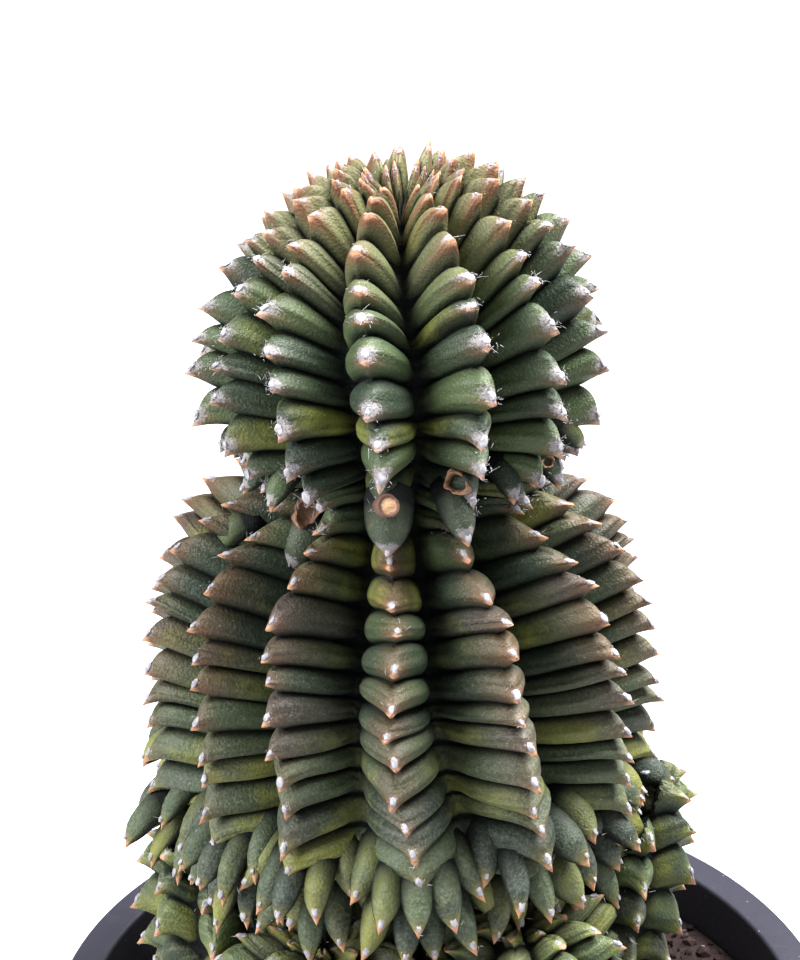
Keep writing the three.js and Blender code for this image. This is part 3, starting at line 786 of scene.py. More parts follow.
bearings = [OFFSETS[-1][0] - 360, *[row[0] for row in OFFSETS], OFFSETS[0][0] + 360]
edges = [(one + other) / 2 for one, other in zip(bearings, bearings[1:])]
offset_stems = []
for i, (bearing, distance, lean, radius, height) in enumerate(OFFSETS):
    plan = offset_stem(i, radius, height)
    matrix = np.array(offset_matrix(bearing, distance, lean))
    place = lambda points, m=matrix: np.asarray(points) @ m[:3, :3].T + m[:3, 3]
    made = grow(f"offset_stem_{i + 1}", plan, place)
    made.data.materials.append(offset_skin)
    cut_with(made, wedge(edges[i], edges[i + 1]), "INTERSECT")
    cut_with(made, room_of_stem())
    clean_cuts(made)
    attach(made, "root")
    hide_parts(f"offset_{i + 1}")
    offset_stems.append((made, plan, place))
    print(made.name, "has", len(made.data.polygons), "faces")

# %% [markdown]
# ## Fingers that hang free
#
# At the hem of the body each rib ends in a fan of claw-like fingers, which turn from outwards to
# straight down. On the right they give way to fewer and broader teeth. Smaller ones hang from the
# underside of the head, except on the ribs with scars. One finger is a bent, keeled claw, grown many
# times from the skin of the stem. A few odd ones, long and hooked, stand where the camera's line
# through a point of the photograph meets the stem, so they sit on the skin from every side.

# %% Find a place on the skin
def tree_of(target):
    return BVHTree.FromObject(target, bpy.context.evaluated_depsgraph_get())


def seen_on(trees, pixel_x, pixel_y):
    """The point and normal of the skin that the camera sees first at a pixel, in mm."""
    half = SENSOR / 2 / LENS
    longest = max(IMAGE_WIDTH, IMAGE_HEIGHT) / 2
    across = (pixel_x - IMAGE_WIDTH / 2) / longest * half
    up = (IMAGE_HEIGHT / 2 - pixel_y) / longest * half
    ray = (CAMERA_TURN.to_matrix() @ Vector((across, up, -1))).normalized()
    hits = [hit for hit in (tree.ray_cast(CAMERA_PLACE, ray) for tree in trees) if hit[0]]
    point, normal, *_ = min(hits, key=lambda hit: hit[3])
    return np.array(point) / MM, np.array(normal)


stem_tree = tree_of(stem_object)
print("the middle of the waist is at", seen_on([stem_tree], 388, 507)[0].round(1))

# %% One finger
FINGER_SIDES = 12
FINGER_WIDTH = [
    (0.0, 0.94), (0.14, 1.0), (0.3, 1.0), (0.44, 0.97), (0.57, 0.9), (0.68, 0.77), (0.77, 0.6),
    (0.84, 0.42), (0.89, 0.28), (0.93, 0.17), (0.97, 0.08), (0.99, 0.03),
]
FINGER_THICKNESS = 0.62
FINGER_KEEL = 0.6
FINGER_WOOL = 0.79
AXIS_STEPS = 24
UP = np.array([0, 0, 1.0])


def finger_axis(root, outward, side, length, droops, splay, t):
    """The middle line of a finger that turns from one droop to another, in degrees."""
    steps = np.linspace(0, t, AXIS_STEPS)
    droop = np.radians(droops[0] + (droops[1] - droops[0]) * steps)
    heading = np.outer(np.cos(droop), outward) - np.outer(np.sin(droop), UP)
    heading = unit(heading + np.outer(steps, side) * splay)
    run = (heading[1:] + heading[:-1]).sum(axis=0) / 2 * (t / (AXIS_STEPS - 1)) * length
    return root + run, heading[-1]


def finger(root, outward, length, width, droops, splay):
    """Points and numbers of one finger, and the spot of wool near its end."""
    side = np.cross(UP, outward)
    around = np.linspace(0, 2 * math.pi, FINGER_SIDES, endpoint=False)
    rings, numbers = [], []
    for t, share in FINGER_WIDTH:
        centre, heading = finger_axis(root, outward, side, length, droops, splay, t)
        across = side - heading * (side @ heading)
        across /= np.linalg.norm(across)
        face = np.cross(heading, across)
        keel = 1 + FINGER_KEEL * np.clip(np.cos(around), 0, 1) ** 4
        wide = width * share * np.sin(around)
        thick = width * share * FINGER_THICKNESS * np.cos(around) * keel
        rings.append(centre + np.outer(wide, across) + np.outer(thick, face))
        # front is 1 on the keel side and 0 behind; through roll it sets where the skin paints shade on
        # a finger.
        front = np.clip(0.35 + 0.9 * np.cos(around), 0, 1)
        numbers.append(np.stack([front, np.full(FINGER_SIDES, t)], axis=-1))
        if abs(t - FINGER_WOOL) < 0.05:
            ridge = width * share * FINGER_THICKNESS * (1 + FINGER_KEEL * 0.85)
            spot = centre + face * ridge, across, heading, face
    end, _ = finger_axis(root, outward, side, length, droops, splay, 1.0)
    points = np.concatenate([[root], *rings, [end]])
    numbers = np.concatenate([[(0, 0)], *numbers, [(1, 1)]])
    return points, numbers, spot


print("a finger has", FINGER_SIDES * len(FINGER_WIDTH) + 2, "points")

# %% Grow the fingers
HEM_FINGERS = 5
HEM_FOLD = 24.4
CREST_DROOP = 10
SIDE_LIFT = 0.7
HEM_SPLAY, TOOTH_SPLAY, WAIST_SPLAY = 0.7, 0.4, 0.5
HEM_AGE, WAIST_AGE, ODD_AGE = 0.97, 0.3, 0.2
TOOTH_PLACES = (-0.75, -0.05, 0.6)
TOOTH_FROM, TOOTH_TO = 36, 120
TOOTH_ROWS = [
    # fold, length, half width, first droop, last droop
    (23.9, 10.0, 2.9, 12, 42),
    (24.9, 11.0, 3.0, 24, 54),
    (25.8, 11.0, 2.8, 40, 66),
]
HEM_ROWS = [
    # the same, with a shift across the rib after the fold
    (23.7, 0.0, 11.5, 2.35, 20, 56),
    (25.0, 0.2, 12.5, 2.2, 30, 68),
]
WAIST_ROWS = [
    (10.2, 0.5, 7.5, 2.1, 24, 66),
]
SCARRED_RIBS = (2, 3, 4)
ODD_FINGERS = [
    # pixel x, pixel y, length, half width, first droop, last droop, splay
    (311, 512, 11.0, 3.0, 15, 90, -0.2),
    (388, 494, 8.5, 3.0, 30, 88, 0.0),
    (455, 488, 9.0, 2.8, 24, 84, 0.25),
    (236, 512, 8.0, 2.3, 25, 70, -0.5),
    (576, 418, 6.5, 2.0, 20, 74, 0.5),
]
ROOT_DEPTH, ROOT_DROP = 3.4, 1.0
finger_draw = np.random.default_rng(53)
vary = lambda share: finger_draw.uniform(1 - share, 1 + share)


def place_on_rib(rib, u, fold):
    """A point of the skin near a fold of one rib, and whether the broad teeth grow there."""
    fold += finger_draw.uniform(-0.3, 0.3)
    skin, *_ = main_stem.surface(np.array(rib), np.array(u), np.array(int(fold)), fold % 1)
    return skin, TOOTH_FROM < math.degrees(math.atan2(skin[0], -skin[1])) < TOOTH_TO


def rooted_finger(skin, length, width, droops, splay, age):
    """A finger that grows from a point of the skin, in mm from the axis of the stem."""
    radius = math.hypot(skin[0], skin[1])
    outward = np.array([skin[0] / radius, skin[1] / radius, 0])
    root = np.array(skin) - outward * ROOT_DEPTH - (0, 0, ROOT_DROP)
    droops = droops[0] * vary(0.3), droops[1] * vary(0.1)
    grown = finger(root, outward, length * vary(0.12), width * vary(0.1), droops, splay)
    return *grown, finger_draw.uniform(), age


made = []
for rib in range(RIBS):
    for fold, shift, length, width, *droops in HEM_ROWS:
        for which in range(HEM_FINGERS):
            u = (which - (HEM_FINGERS - 1) / 2) * 2 / HEM_FINGERS + shift
            skin, toothed = place_on_rib(rib, u, fold - SIDE_LIFT * abs(u))
            if not toothed:
                size = length * (0.9 + 0.15 * abs(u)), width
                lower = [droop + CREST_DROOP * (1 - abs(u)) for droop in droops]
                made.append(rooted_finger(skin, *size, lower, u * HEM_SPLAY, HEM_AGE))
    for fold, length, width, *droops in TOOTH_ROWS:
        for u in TOOTH_PLACES:
            skin, toothed = place_on_rib(rib, u, fold - SIDE_LIFT * abs(u))
            if toothed:
                splay = u * TOOTH_SPLAY
                made.append(rooted_finger(skin, length, width, droops, splay, HEM_AGE))
    for fold, shift, length, width, *droops in WAIST_ROWS:
        for u in () if rib in SCARRED_RIBS else (-shift, shift):
            skin, _ = place_on_rib(rib, u, fold)
            made.append(rooted_finger(skin, length, width, droops, u * WAIST_SPLAY, WAIST_AGE))
for pixel_x, pixel_y, length, width, first, last, splay in ODD_FINGERS:
    skin = seen_on([stem_tree], pixel_x, pixel_y)[0] - (PLANT_X, PLANT_Y, 0)
    made.append(rooted_finger(skin, length, width, (first, last), splay, ODD_AGE))
each_points, each_numbers, woolly_spots, hues, ages = zip(*made)
finger_size = len(each_points[0])
finger_points = stem_place(np.concatenate(each_points))
finger_numbers = np.concatenate(each_numbers)
finger_hue, finger_age = np.repeat(hues, finger_size), np.repeat(ages, finger_size)
finger_faces = [tuple(corner + i * finger_size for corner in face) for i in range(len(made))
                for face in ring_faces(len(FINGER_WIDTH), FINGER_SIDES)]
facing, reach = finger_numbers.T
finger_values = {
    "age": finger_age,
    # Low crest and roll at the root, and low roll on the back, make the skin paint shade on those
    # parts of each finger.
    "crest": np.clip(0.02 + reach * 0.9, 0, 1),
    "roll": facing**1.5 * np.clip(0.04 + reach * 1.35, 0, 1),
    "down": reach,
    "tip": np.clip((reach - 0.72) / 0.26, 0, 1),
    "wool": np.exp(-(((reach - FINGER_WOOL) / 0.1) ** 2)) * (finger_age < 0.5) * facing**4,
    "hue": finger_hue,
    "tone": np.mod(finger_hue * 7.3, 1),
}
fingers = mesh_object("hanging_fingers", finger_points, finger_faces, finger_values)
fingers.data.materials.append(stem_skin)
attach(fingers, "root")
print(fingers.name, "has", len(fingers.data.polygons), "faces")

# %% [markdown]
# ## Wool on the areoles
#
# Over each beak sits an areole, a spot of felted wool. On the head it is a ragged white patch with
# fibres sticking out, and on the old body it is worn to a small smooth pad. One pad is modelled and
# copied to every fold, pressed flat on the skin. The fibres are thin three-sided tubes that taper
# to a point, because a real mesh shows from every side and goes into the export.


# %% Spots on the skin
SPOT_STEP = 0.03
BURIED_DEPTH = 0.6
OLD_WOOL = 0.48


def skin_spots(stem, place, rib, fold, p):
    """Points on the crests of the folds, with the outward normal and the way down the rib."""
    at = lambda u, q: place(stem.surface(rib, u + np.zeros(rib.shape), fold, q)[0])
    across = unit(at(SPOT_STEP, p) - at(-SPOT_STEP, p))
    down = unit(at(0.0, p + SPOT_STEP) - at(0.0, p - SPOT_STEP))
    return at(0.0, p), across, down, np.cross(down, across)


def all_spots():
    """Every areole of the stems as one table of places, directions, ages and folds."""
    tables = []
    for _, plan, place in [(stem_object, main_stem, stem_place), *offset_stems]:
        rib, fold = np.meshgrid(np.arange(plan.ribs), np.arange(plan.folds), indexing="ij")
        rib, fold = rib.ravel(), fold.ravel()
        spot = skin_spots(plan, place, rib, fold, WOOL_PLACE)
        age = fold / STEM_FOLDS if plan is main_stem else np.full(len(fold), 0.5)
        tables.append((*spot, age, fold))
    return [np.concatenate(column) for column in zip(*tables)]


def buried(points):
    """True for points that are on no skin any more, because an offset was cut away there."""
    trees = [stem_tree, tree_of(fingers), *(tree_of(made) for made, _, _ in offset_stems)]
    nearest = [min(tree.find_nearest(Vector(point) * MM)[3] for tree in trees) for point in points]
    return np.array(nearest) > BURIED_DEPTH * MM


*spots, spot_fold = all_spots()
kept = ~buried(spots[0]) & ((spot_fold < HEM_FOLD - 1) | (spots[4] < 0.6))
on_fingers = [np.array(column) for column in zip(*woolly_spots)]
on_fingers[0] = stem_place(on_fingers[0])
on_fingers.append(np.maximum(OLD_WOOL, ages))
spots = [np.concatenate([column[kept], more]) for column, more in zip(spots, on_fingers)]
spot_place, spot_across, spot_down, spot_normal, spot_age = spots
print("areoles:", len(spot_place), "of", len(kept))

# %% The wool finish
wool = Finish("areole_wool")
tuft_cloud = wool.noise(0.6, 3)
wool_colour = wool.mix(tuft_cloud.above(0.3, 0.7), (0.27, 0.26, 0.28), (0.52, 0.5, 0.54))
wool_finish = wool.finish(base_color=wool_colour, roughness=0.75, normal=wool.bump(tuft_cloud, 0.1))
print(wool_finish.name, "is ready")


# %% The felt pads
def copies(base_points, base_faces, places, frames, jitter, seed):
    """One small shape copied to many places. A frame is three rows: its x, y and z in mm."""
    rng = np.random.default_rng(seed)
    base = np.asarray(base_points)
    points = np.einsum("vi,nij->nvj", base, frames) + places[:, None, :]
    points += jitter * rng.standard_normal(points.shape)
    start = np.arange(len(places))[:, None, None] * len(base)
    faces = (start + np.asarray(base_faces)[None]).reshape(-1, len(base_faces[0]))
    return points.reshape(-1, 3), faces.tolist()


def small_ball(subdivisions):
    """The points and triangles of a ball of radius 1, from Blender's own primitive."""
    bpy.ops.mesh.primitive_ico_sphere_add(subdivisions=subdivisions, radius=1.0)
    ball = bpy.context.object
    points = [vertex.co[:] for vertex in ball.data.vertices]
    faces = [tuple(polygon.vertices) for polygon in ball.data.polygons]
    bpy.data.objects.remove(ball)
    return points, faces


PAD_WIDTH, PAD_LENGTH, PAD_HEIGHT = 0.42, 0.75, 0.22
YOUNGEST_WOOL = 0.12
pad_draw = np.random.default_rng(7)
pad_size = pad_draw.uniform(0.7, 1.2, len(spot_place))
pad_size *= np.where(spot_age < YOUNGEST_WOOL, 0.3, 1.0)
head_share = np.clip((OLD_WOOL - spot_age) / 0.06, 0, 1)
pad_frames = np.stack([
    spot_across * (PAD_WIDTH * (1 + 0.4 * head_share) * pad_size)[:, None],
    spot_down * (PAD_LENGTH * pad_size)[:, None],
    spot_normal * (PAD_HEIGHT * (1 - 0.3 * head_share) * pad_size)[:, None],
], axis=1)
pad_points, pad_faces = copies(*small_ball(2), spot_place, pad_frames, 0.05, seed=3)
pads = mesh_object("felt_pads", pad_points, pad_faces)
pads.data.materials.append(wool_finish)
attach(pads, "root")
print(pads.name, "has", len(pads.data.polygons), "faces")


# %% The fibres
FIBRE_RADIUS = 0.045
FIBRE_CURL = 0.45
FIBRE_LIE = 0.92


def fibres(name, roots, normals, acrosses, lengths, seed):
    """Thin tapering tubes that lean far over on the skin."""
    rng = np.random.default_rng(seed)
    count = len(roots)
    spin = rng.uniform(0, 2 * math.pi, (count, 1))
    along_skin = acrosses * np.cos(spin) + np.cross(normals, acrosses) * np.sin(spin)
    upright = 1 - FIBRE_LIE * rng.uniform(0.6, 1.0, (count, 1))
    heading = unit(along_skin * FIBRE_LIE + normals * upright)
    curl = rng.standard_normal((count, 3)) * FIBRE_CURL
    side = unit(np.cross(heading, curl))
    other = np.cross(heading, side)
    rings = []
    for t, thick in ((0.0, 1.0), (0.4, 0.9), (0.75, 0.6)):
        middle = roots + (heading * t + curl * t * t) * lengths[:, None]
        for turn in (0, 2 * math.pi / 3, 4 * math.pi / 3):
            round_it = side * math.cos(turn) + other * math.sin(turn)
            rings.append(middle + round_it * FIBRE_RADIUS * thick)
    rings.append(roots + (heading + curl) * lengths[:, None])
    points = np.stack(rings, axis=1).reshape(-1, 3)
    shape = [(0, 2, 1)]
    for ring in (0, 3):
        for k in range(3):
            a, b = ring + k, ring + (k + 1) % 3
            shape += [(a, b, b + 3), (a, b + 3, a + 3)]
    shape += [(6 + k, 6 + (k + 1) % 3, 9) for k in range(3)]
    start = np.arange(count)[:, None, None] * len(rings)
    return mesh_object(name, points, (start + np.array(shape)[None]).reshape(-1, 3).tolist())


HEAD_FIBRES, BODY_FIBRES, CROWN_FIBRES = 26, 2, 3
fibre_count = np.where(spot_age < OLD_WOOL, HEAD_FIBRES, BODY_FIBRES)
fibre_count = np.where(spot_age < YOUNGEST_WOOL, CROWN_FIBRES, fibre_count)
owner = np.repeat(np.arange(len(spot_place)), fibre_count)
fibre_draw = np.random.default_rng(19)
shift_down = spot_down[owner] * fibre_draw.normal(0, 0.8, (len(owner), 1))
shift_across = spot_across[owner] * fibre_draw.normal(0, 0.7, (len(owner), 1))
fibre_roots = spot_place[owner] + shift_down + shift_across
fibre_length = 0.35 + 0.8 * fibre_draw.uniform(0, 1, len(owner)) ** 3
wool_fibres = fibres("areole_fibres", fibre_roots, spot_normal[owner], spot_across[owner],
                     fibre_length, seed=23)
wool_fibres.data.materials.append(wool_finish)
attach(wool_fibres, "root")
print(wool_fibres.name, "has", len(wool_fibres.data.polygons), "faces")

# %% [markdown]
# ## The growing pot
#
# It is a thin moulded shell: a flat floor with six drain holes, a tapered wall and a flat lip that
# turns down in a short skirt. We start from a circle and extrude it round the profile, from the
# floor up the outside, over the lip and down the inside, scaling the ring at each step, as a potter
# would pull it. A bevel then softens every moulded edge, and a Boolean drills the drain holes.

# %% Model the pot
RIM_RADIUS, POT_HEIGHT, LIP_WIDTH, LIP_THICKNESS = 60.0, 105.0, 5.5, 1.6
SKIRT_HEIGHT, WALL, FLOOR_RADIUS, FLOOR_THICKNESS = 9.0, 1.5, 42.0, 2.0
DRAIN_RADIUS, DRAIN_CIRCLE, DRAIN_COUNT = 4.0, 27.0, 6
POT_SIDES = 128
INNER_RIM = RIM_RADIUS - LIP_WIDTH
UNDER_LIP = POT_HEIGHT - LIP_THICKNESS
OUTSIDE = [
    (FLOOR_RADIUS - 1, 0), (FLOOR_RADIUS, 1), (INNER_RIM + WALL, UNDER_LIP),
    (RIM_RADIUS - LIP_THICKNESS, UNDER_LIP), (RIM_RADIUS - LIP_THICKNESS, POT_HEIGHT - SKIRT_HEIGHT),
    (RIM_RADIUS, POT_HEIGHT - SKIRT_HEIGHT), (RIM_RADIUS, POT_HEIGHT),
]
INSIDE = [(INNER_RIM, POT_HEIGHT), (FLOOR_RADIUS - WALL, FLOOR_THICKNESS)]

radius, height = OUTSIDE[0]
bpy.ops.mesh.primitive_circle_add(vertices=POT_SIDES, radius=radius * MM, fill_type="NGON")
pot = bpy.context.object
pot.name = pot.data.name = "growing_pot"
bpy.ops.object.mode_set(mode="EDIT")
bpy.ops.mesh.select_all(action="SELECT")
bpy.ops.mesh.flip_normals()
for wider, higher in (*OUTSIDE[1:], *INSIDE):
    move = {"value": (0, 0, (higher - height) * MM)}
    bpy.ops.mesh.extrude_region_move(TRANSFORM_OT_translate=move)
    bpy.ops.transform.resize(value=(wider / radius, wider / radius, 1), center_override=(0, 0, 0))
    radius, height = wider, higher
bpy.ops.mesh.select_all(action="SELECT")
bpy.ops.mesh.normals_make_consistent(inside=False)
bpy.ops.object.mode_set(mode="OBJECT")
print("the pot has", len(pot.data.polygons), "faces before its edges are softened")

# %% Drill and soften the pot
EDGE_ROUND = 0.6
ROUND_STEPS = 3
ROUNDED_ANGLE, SMOOTH_ANGLE = 30, 35
HOLE_SIDES = 32


def cylinder(name, radius, low, high, sides, place=(0, 0), turn=None):
    """A closed cylinder between two heights, or leaned by a matrix about its own place."""
    bpy.ops.mesh.primitive_cylinder_add(vertices=sides, radius=radius * MM, depth=(high - low) * MM)
    made = bpy.context.object
    made.name = name
    centre = Matrix.Translation((place[0] * MM, place[1] * MM, (low + high) / 2 * MM))
    made.data.transform((turn or Matrix.Identity(4)) @ centre)
    return made


only(pot)
soften = pot.modifiers.new("soft_edges", "BEVEL")
soften.width = EDGE_ROUND * MM
soften.segments = ROUND_STEPS
soften.limit_method = "ANGLE"
soften.angle_limit = math.radians(ROUNDED_ANGLE)
bpy.ops.object.modifier_apply(modifier=soften.name)
for i in range(DRAIN_COUNT):
    angle = 2 * math.pi * i / DRAIN_COUNT
    place = (DRAIN_CIRCLE * math.cos(angle), DRAIN_CIRCLE * math.sin(angle))
    cut_with(pot, cylinder("drain", DRAIN_RADIUS, -5, 3 * FLOOR_THICKNESS, HOLE_SIDES, place))
only(pot)
bpy.ops.object.shade_smooth_by_angle(angle=math.radians(SMOOTH_ANGLE))
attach(pot, "root")
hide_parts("pot")
print(pot.name, "has", len(pot.data.polygons), "faces")

# %% [markdown]
# ## Black plastic that has stood outside
#
# Moulded plastic is nearly black, with a soft sheen that shows the pale sky on the flat lip. Years
# of watering leave a thin lime bloom and dust in specks, and the plastic has a fine grain.

# %% The plastic finish
plastic = Finish("black_plastic")
haze = plastic.noise(22, 4, 0.6)
grime = plastic.noise(2.2, 4, 0.7)
fine = plastic.noise(0.35, 2)
speck = (1 - plastic.cells(1.7).above(0.05, 0.11)) * grime.above(0.5, 0.62)
bloom = haze.above(0.4, 0.75) * grime.above(0.35, 0.7)
upwards = plastic.add("ShaderNodeSeparateXYZ", None, {
    0: plastic.add("ShaderNodeNewGeometry", output="Normal")}, output="Z")
plastic_colour = plastic.mix(bloom * 0.3, (0.016, 0.016, 0.024), (0.06, 0.058, 0.07))
# Upward faces, the flat lip above all, are painted a lighter lavender grey: a painted reflection of
# the pale sky.
plastic_colour = plastic.mix(upwards.above(0.5, 0.95) * 0.8, plastic_colour, (0.031, 0.03, 0.05))
plastic_colour = plastic.mix(speck * 0.7, plastic_colour, (0.42, 0.4, 0.4))
pot.data.materials.clear()
pot.data.materials.append(plastic.finish(
    base_color=plastic_colour, roughness=0.4 + bloom * 0.2 + grime * 0.1,
    normal=plastic.bump(fine, 0.025, Normal=plastic.bump(grime, 0.05)),
))
print("the pot is", plastic.material.name)

# %% [markdown]
# ## Gritty soil
#
# The mix is dark and reddish, with crumbs and small stones lying on it. Its body is one lumpy solid
# that fills the pot, with a plain hole for the foot of each stem. The crumbs are one small ball,
# copied a few thousand times at many sizes, squashed and turned, and pressed into the surface.

# %% The body of the soil
SOIL_LUMP = 0.9
SOIL_GAP = 0.5
DIP_RADIUS, DIP_WIDTH = 48, 5
SOIL_SIDES = 96
SOIL_RINGS = 26
STEM_HOLE_TOP, OFFSET_HOLE_TOP = 9, 12


def inner_wall(height):
    """The radius of the pot's inner wall at a height."""
    share = (height - FLOOR_THICKNESS) / (POT_HEIGHT - EDGE_ROUND - FLOOR_THICKNESS)
    return FLOOR_RADIUS - WALL + (INNER_RIM - FLOOR_RADIUS + WALL) * share


def soil_height(x, y):
    """The lumpy top of the soil, which dips a little at the wall of the pot."""
    radius, angle = np.hypot(x, y), np.arctan2(y, x)
    broad = np.sin(radius * 0.52 + 3 * np.sin(angle * 2)) * np.cos(angle * 5 + radius * 0.3)
    small = np.sin(x * 1.7 + 2 * np.sin(y * 0.9)) * np.sin(y * 1.9 + 2 * np.sin(x * 0.8))
    dip = np.clip((radius - DIP_RADIUS) / DIP_WIDTH, 0, 1)
    return SOIL_LEVEL + SOIL_LUMP * (0.7 * broad + 0.3 * small) * (1 - dip) - SOIL_LUMP * dip


angle = np.linspace(0, 2 * math.pi, SOIL_SIDES, endpoint=False)
edge = inner_wall(SOIL_LEVEL) - SOIL_GAP
low = FLOOR_THICKNESS + CLEARANCE
reach = edge * np.arange(1, SOIL_RINGS + 1) / SOIL_RINGS
ring_x, ring_y = np.outer(reach, np.cos(angle)), np.outer(reach, np.sin(angle))
top_rings = np.stack([ring_x, ring_y, soil_height(ring_x, ring_y)], axis=-1).reshape(-1, 3)
base_radius = inner_wall(low) - SOIL_GAP
base_ring = [(base_radius * math.cos(a), base_radius * math.sin(a), low) for a in angle]
crown, bottom = [(0, 0, float(soil_height(0, 0)))], [(0, 0, low)]
soil_points = np.concatenate([crown, top_rings, base_ring, bottom])
soil = mesh_object("gritty_soil", soil_points, ring_faces(SOIL_RINGS + 1, SOIL_SIDES))
stem_radius = STEM_FOOT[-1][0]
cut_with(soil, cylinder("hole", stem_radius + CLEARANCE, SOIL_LEVEL - FOOT_DEPTH - CLEARANCE,
                        SOIL_LEVEL + STEM_HOLE_TOP, HOLE_SIDES, (PLANT_X, PLANT_Y)))
for bearing, distance, lean, *_ in OFFSETS:
    turn = offset_matrix(bearing, distance, lean)
    turn.translation *= MM
    cut_with(soil, cylinder("hole", OFFSET_FOOT_RADIUS + CLEARANCE, -FOOT_DEPTH - CLEARANCE,
                            OFFSET_HOLE_TOP, HOLE_SIDES, turn=turn))
clean_cuts(soil)
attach(soil, "root")
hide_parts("soil")
print(soil.name, "has", len(soil.data.polygons), "faces")

# %% The crumbs
CRUMBS = 3600
crumb_draw = np.random.default_rng(31)
crumb_radius = edge * np.sqrt(crumb_draw.uniform(0.03, 1, CRUMBS)) - 0.6
crumb_angle = crumb_draw.uniform(0, 2 * math.pi, CRUMBS)
crumb_x, crumb_y = crumb_radius * np.cos(crumb_angle), crumb_radius * np.sin(crumb_angle)
crumb_size = 0.32 + 1.1 * crumb_draw.uniform(0, 1, CRUMBS) ** 3
feet = [(PLANT_X, PLANT_Y, stem_radius)]
for bearing, distance, *_ in OFFSETS:
    angle = math.radians(bearing)
    foot_x, foot_y = PLANT_X + distance * math.sin(angle), PLANT_Y - distance * math.cos(angle)
    feet.append((foot_x, foot_y, OFFSET_FOOT_RADIUS + 1.5))
clear = np.all([np.hypot(crumb_x - x, crumb_y - y) > r + crumb_size for x, y, r in feet], axis=0)
clear &= crumb_radius + crumb_size < edge
turns = np.linalg.qr(crumb_draw.standard_normal((CRUMBS, 3, 3)))[0]
turns[np.linalg.det(turns) < 0, 0] *= -1
squash = crumb_draw.uniform(0.6, 1.1, (CRUMBS, 3, 1)) * crumb_size[:, None, None]
crumb_z = soil_height(crumb_x, crumb_y) + crumb_size * crumb_draw.uniform(-0.1, 0.45, CRUMBS)
crumb_places = np.stack([crumb_x, crumb_y, crumb_z], axis=1)
ball = small_ball(1)
crumb_points, crumb_faces = copies(*ball, crumb_places[clear], (turns * squash)[clear], 0.05, seed=5)
crumb_tone = np.repeat(crumb_draw.uniform(0, 1, int(clear.sum())), len(ball[0]))
crumbs = mesh_object("soil_crumbs", crumb_points, crumb_faces, {"tone": crumb_tone})
crumbs.data.shade_flat()
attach(crumbs, "root")
print(crumbs.name, "has", len(crumbs.data.polygons), "faces")


# %% The soil finish
def soil_finish(name, loose):
    """Dark reddish crumbs, some of them pale stones. Each loose crumb has one tone of its own."""
    earth = Finish(name)
    tone = earth.attribute("tone") if loose else earth.noise(0.9, 3, 0.7)
    clod = earth.noise(5, 3)
    colour = earth.mix(tone.above(0.15, 0.75), (0.007, 0.005, 0.005), (0.04, 0.024, 0.023))
    colour = earth.mix(clod.above(0.5, 0.8) * 0.5, colour, (0.05, 0.032, 0.03))
    colour = earth.mix(tone.above(0.9, 0.95) * 0.8, colour, (0.2, 0.17, 0.16))
    relief = earth.bump(earth.noise(0.4, 4, 0.7), 0.25)
    return earth.finish(base_color=colour, roughness=0.85 + 0.1 * clod, normal=relief,
                        specular_ior_level=0.15)


crumbs.data.materials.append(soil_finish("soil_crumb", loose=True))
soil.data.materials.clear()
soil.data.materials.append(soil_finish("soil_body", loose=False))
print("soil finishes:", crumbs.data.materials[0].name, soil.data.materials[0].name)

# %% [markdown]
# ## Scars at the waist
#
# Four tubercles in the waist have been lost and have healed: a torn one with an orange rim, a round
# one with a pale heart, and two dark pits with dry tan edges. Each is a small dish with a raised
# lip, on a short stump rooted in the skin and turned partly towards the camera. Its place is where
# the camera's line through a point of the photograph meets the skin.

# %% Model the scars
skin_trees = [stem_tree, tree_of(fingers)]
SCAR_SIDES = 36
FACING = 0.6
SCAR_RINGS = (0.2, 0.42, 0.6, 0.74, 0.85, 0.94, 1.03, 1.12)
LIP_PLACE, LIP_SPREAD = 0.85, 0.13
BOWL_EDGE = 0.7
FOOT_FROM, FOOT_SPAN, SCAR_FOOT = 0.94, 0.18, 2.0
SCARS = [
    # pixel x, pixel y, radius, height of the lip, raggedness, depth of the middle, stump, pale heart
    (306, 509, 2.0, 1.2, 0.9, 0.5, 1.0, 0.35),
    (388, 506, 1.6, 0.3, 0.2, -0.3, 0.3, 1.0),
    (457, 483, 1.7, 1.0, 0.9, 1.4, 0.0, 0.0),
    (548, 462, 0.9, 0.5, 0.8, 0.2, 0.0, 0.0),
]


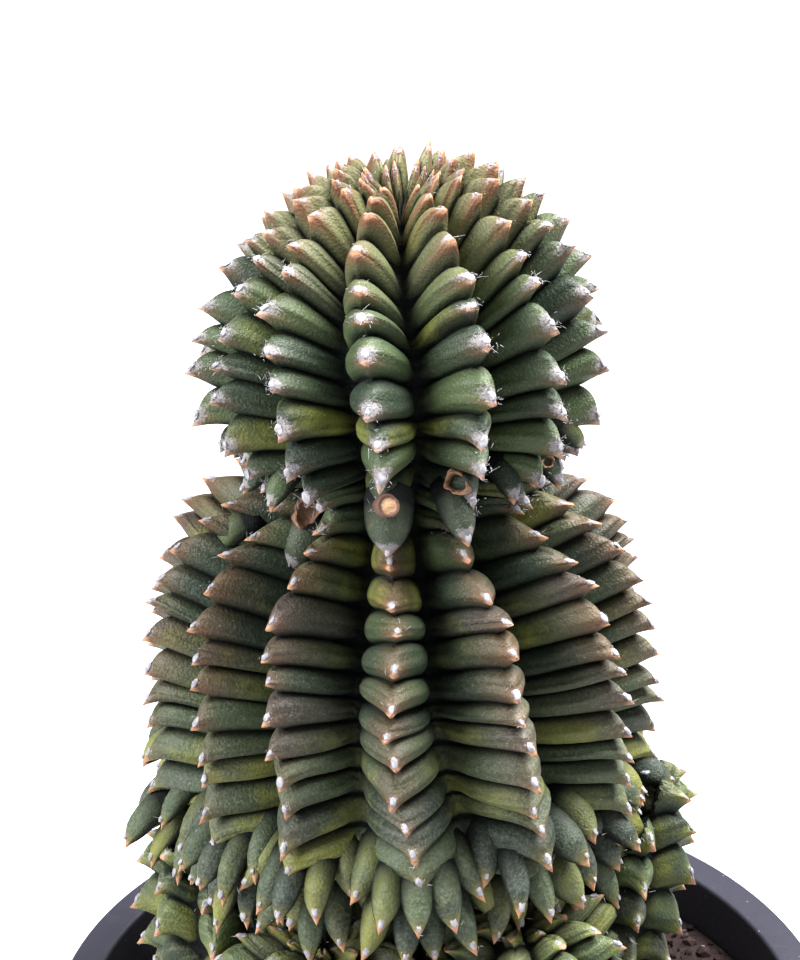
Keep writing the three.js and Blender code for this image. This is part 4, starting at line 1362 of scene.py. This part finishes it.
def scar_mesh(number, pixel_x, pixel_y, radius, lip, ragged, depth, stump, heart):
    centre, normal = seen_on(skin_trees, pixel_x, pixel_y)
    towards = np.array(CAMERA_PLACE) / MM - centre
    normal = (1 - FACING) * normal + FACING * towards / np.linalg.norm(towards)
    normal /= np.linalg.norm(normal)
    centre = centre + stump * normal
    across = np.cross((0, 0, 1), normal)
    across /= np.linalg.norm(across)
    up = np.cross(normal, across)
    angle = np.linspace(0, 2 * math.pi, SCAR_SIDES, endpoint=False)
    tear = sum(np.sin(angle * k + 9 * draw(number, k)) / k for k in (2, 3, 5, 8)) * ragged
    rings = []
    for share in SCAR_RINGS:
        raised = math.exp(-(((share - LIP_PLACE) / LIP_SPREAD) ** 2))
        sink = -depth * max(0.0, 1 - share / BOWL_EDGE)
        foot = (SCAR_FOOT + stump) * max(0.0, share - FOOT_FROM) / FOOT_SPAN
        height = sink + lip * raised * (1 + tear * 1.3) - foot
        out = radius * share * (1 + tear * 0.35 * share)
        circle = np.outer(np.cos(angle) * out, across) + np.outer(np.sin(angle) * out, up)
        rings.append(centre + circle + np.outer(height * np.ones(SCAR_SIDES), normal))
    middle, root = centre - depth * normal, centre - (SCAR_FOOT + 0.5 + stump) * normal
    rim = np.concatenate([[0], np.repeat(SCAR_RINGS, SCAR_SIDES), [SCAR_RINGS[-1]]])
    points = np.concatenate([[middle], *rings, [root]])
    values = {"rim": rim, "heart": np.full(len(rim), heart)}
    return mesh_object(f"scar_{number}", points, ring_faces(len(SCAR_RINGS), SCAR_SIDES), values)


scar = Finish("healed_scar")
rim = scar.attribute("rim")
crust = scar.noise(0.9, 4, 0.65)
heart = scar.attribute("heart")
edge_mask = (rim * 1.2 + crust * 0.7 - 0.35).above(0.6, 0.95)
torn = scar.mix(edge_mask, (0.03, 0.014, 0.012), (0.5, 0.28, 0.17))
torn = scar.mix(crust.above(0.48, 0.62) * 0.85, torn, (0.13, 0.06, 0.04))
whole = scar.mix((rim + crust * 0.4).above(0.7, 0.95), (0.6, 0.36, 0.2), (0.15, 0.075, 0.05))
scar_colour = scar.mix(heart, torn, whole)
scar_relief = scar.bump(crust, 0.5)
scar_finish = scar.finish(base_color=scar_colour, roughness=0.55, normal=scar_relief)
for number, row in enumerate(SCARS, 1):
    made = scar_mesh(number, *row)
    made.data.materials.append(scar_finish)
    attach(made, "root")
print("scars:", len(SCARS))

# %% [markdown]
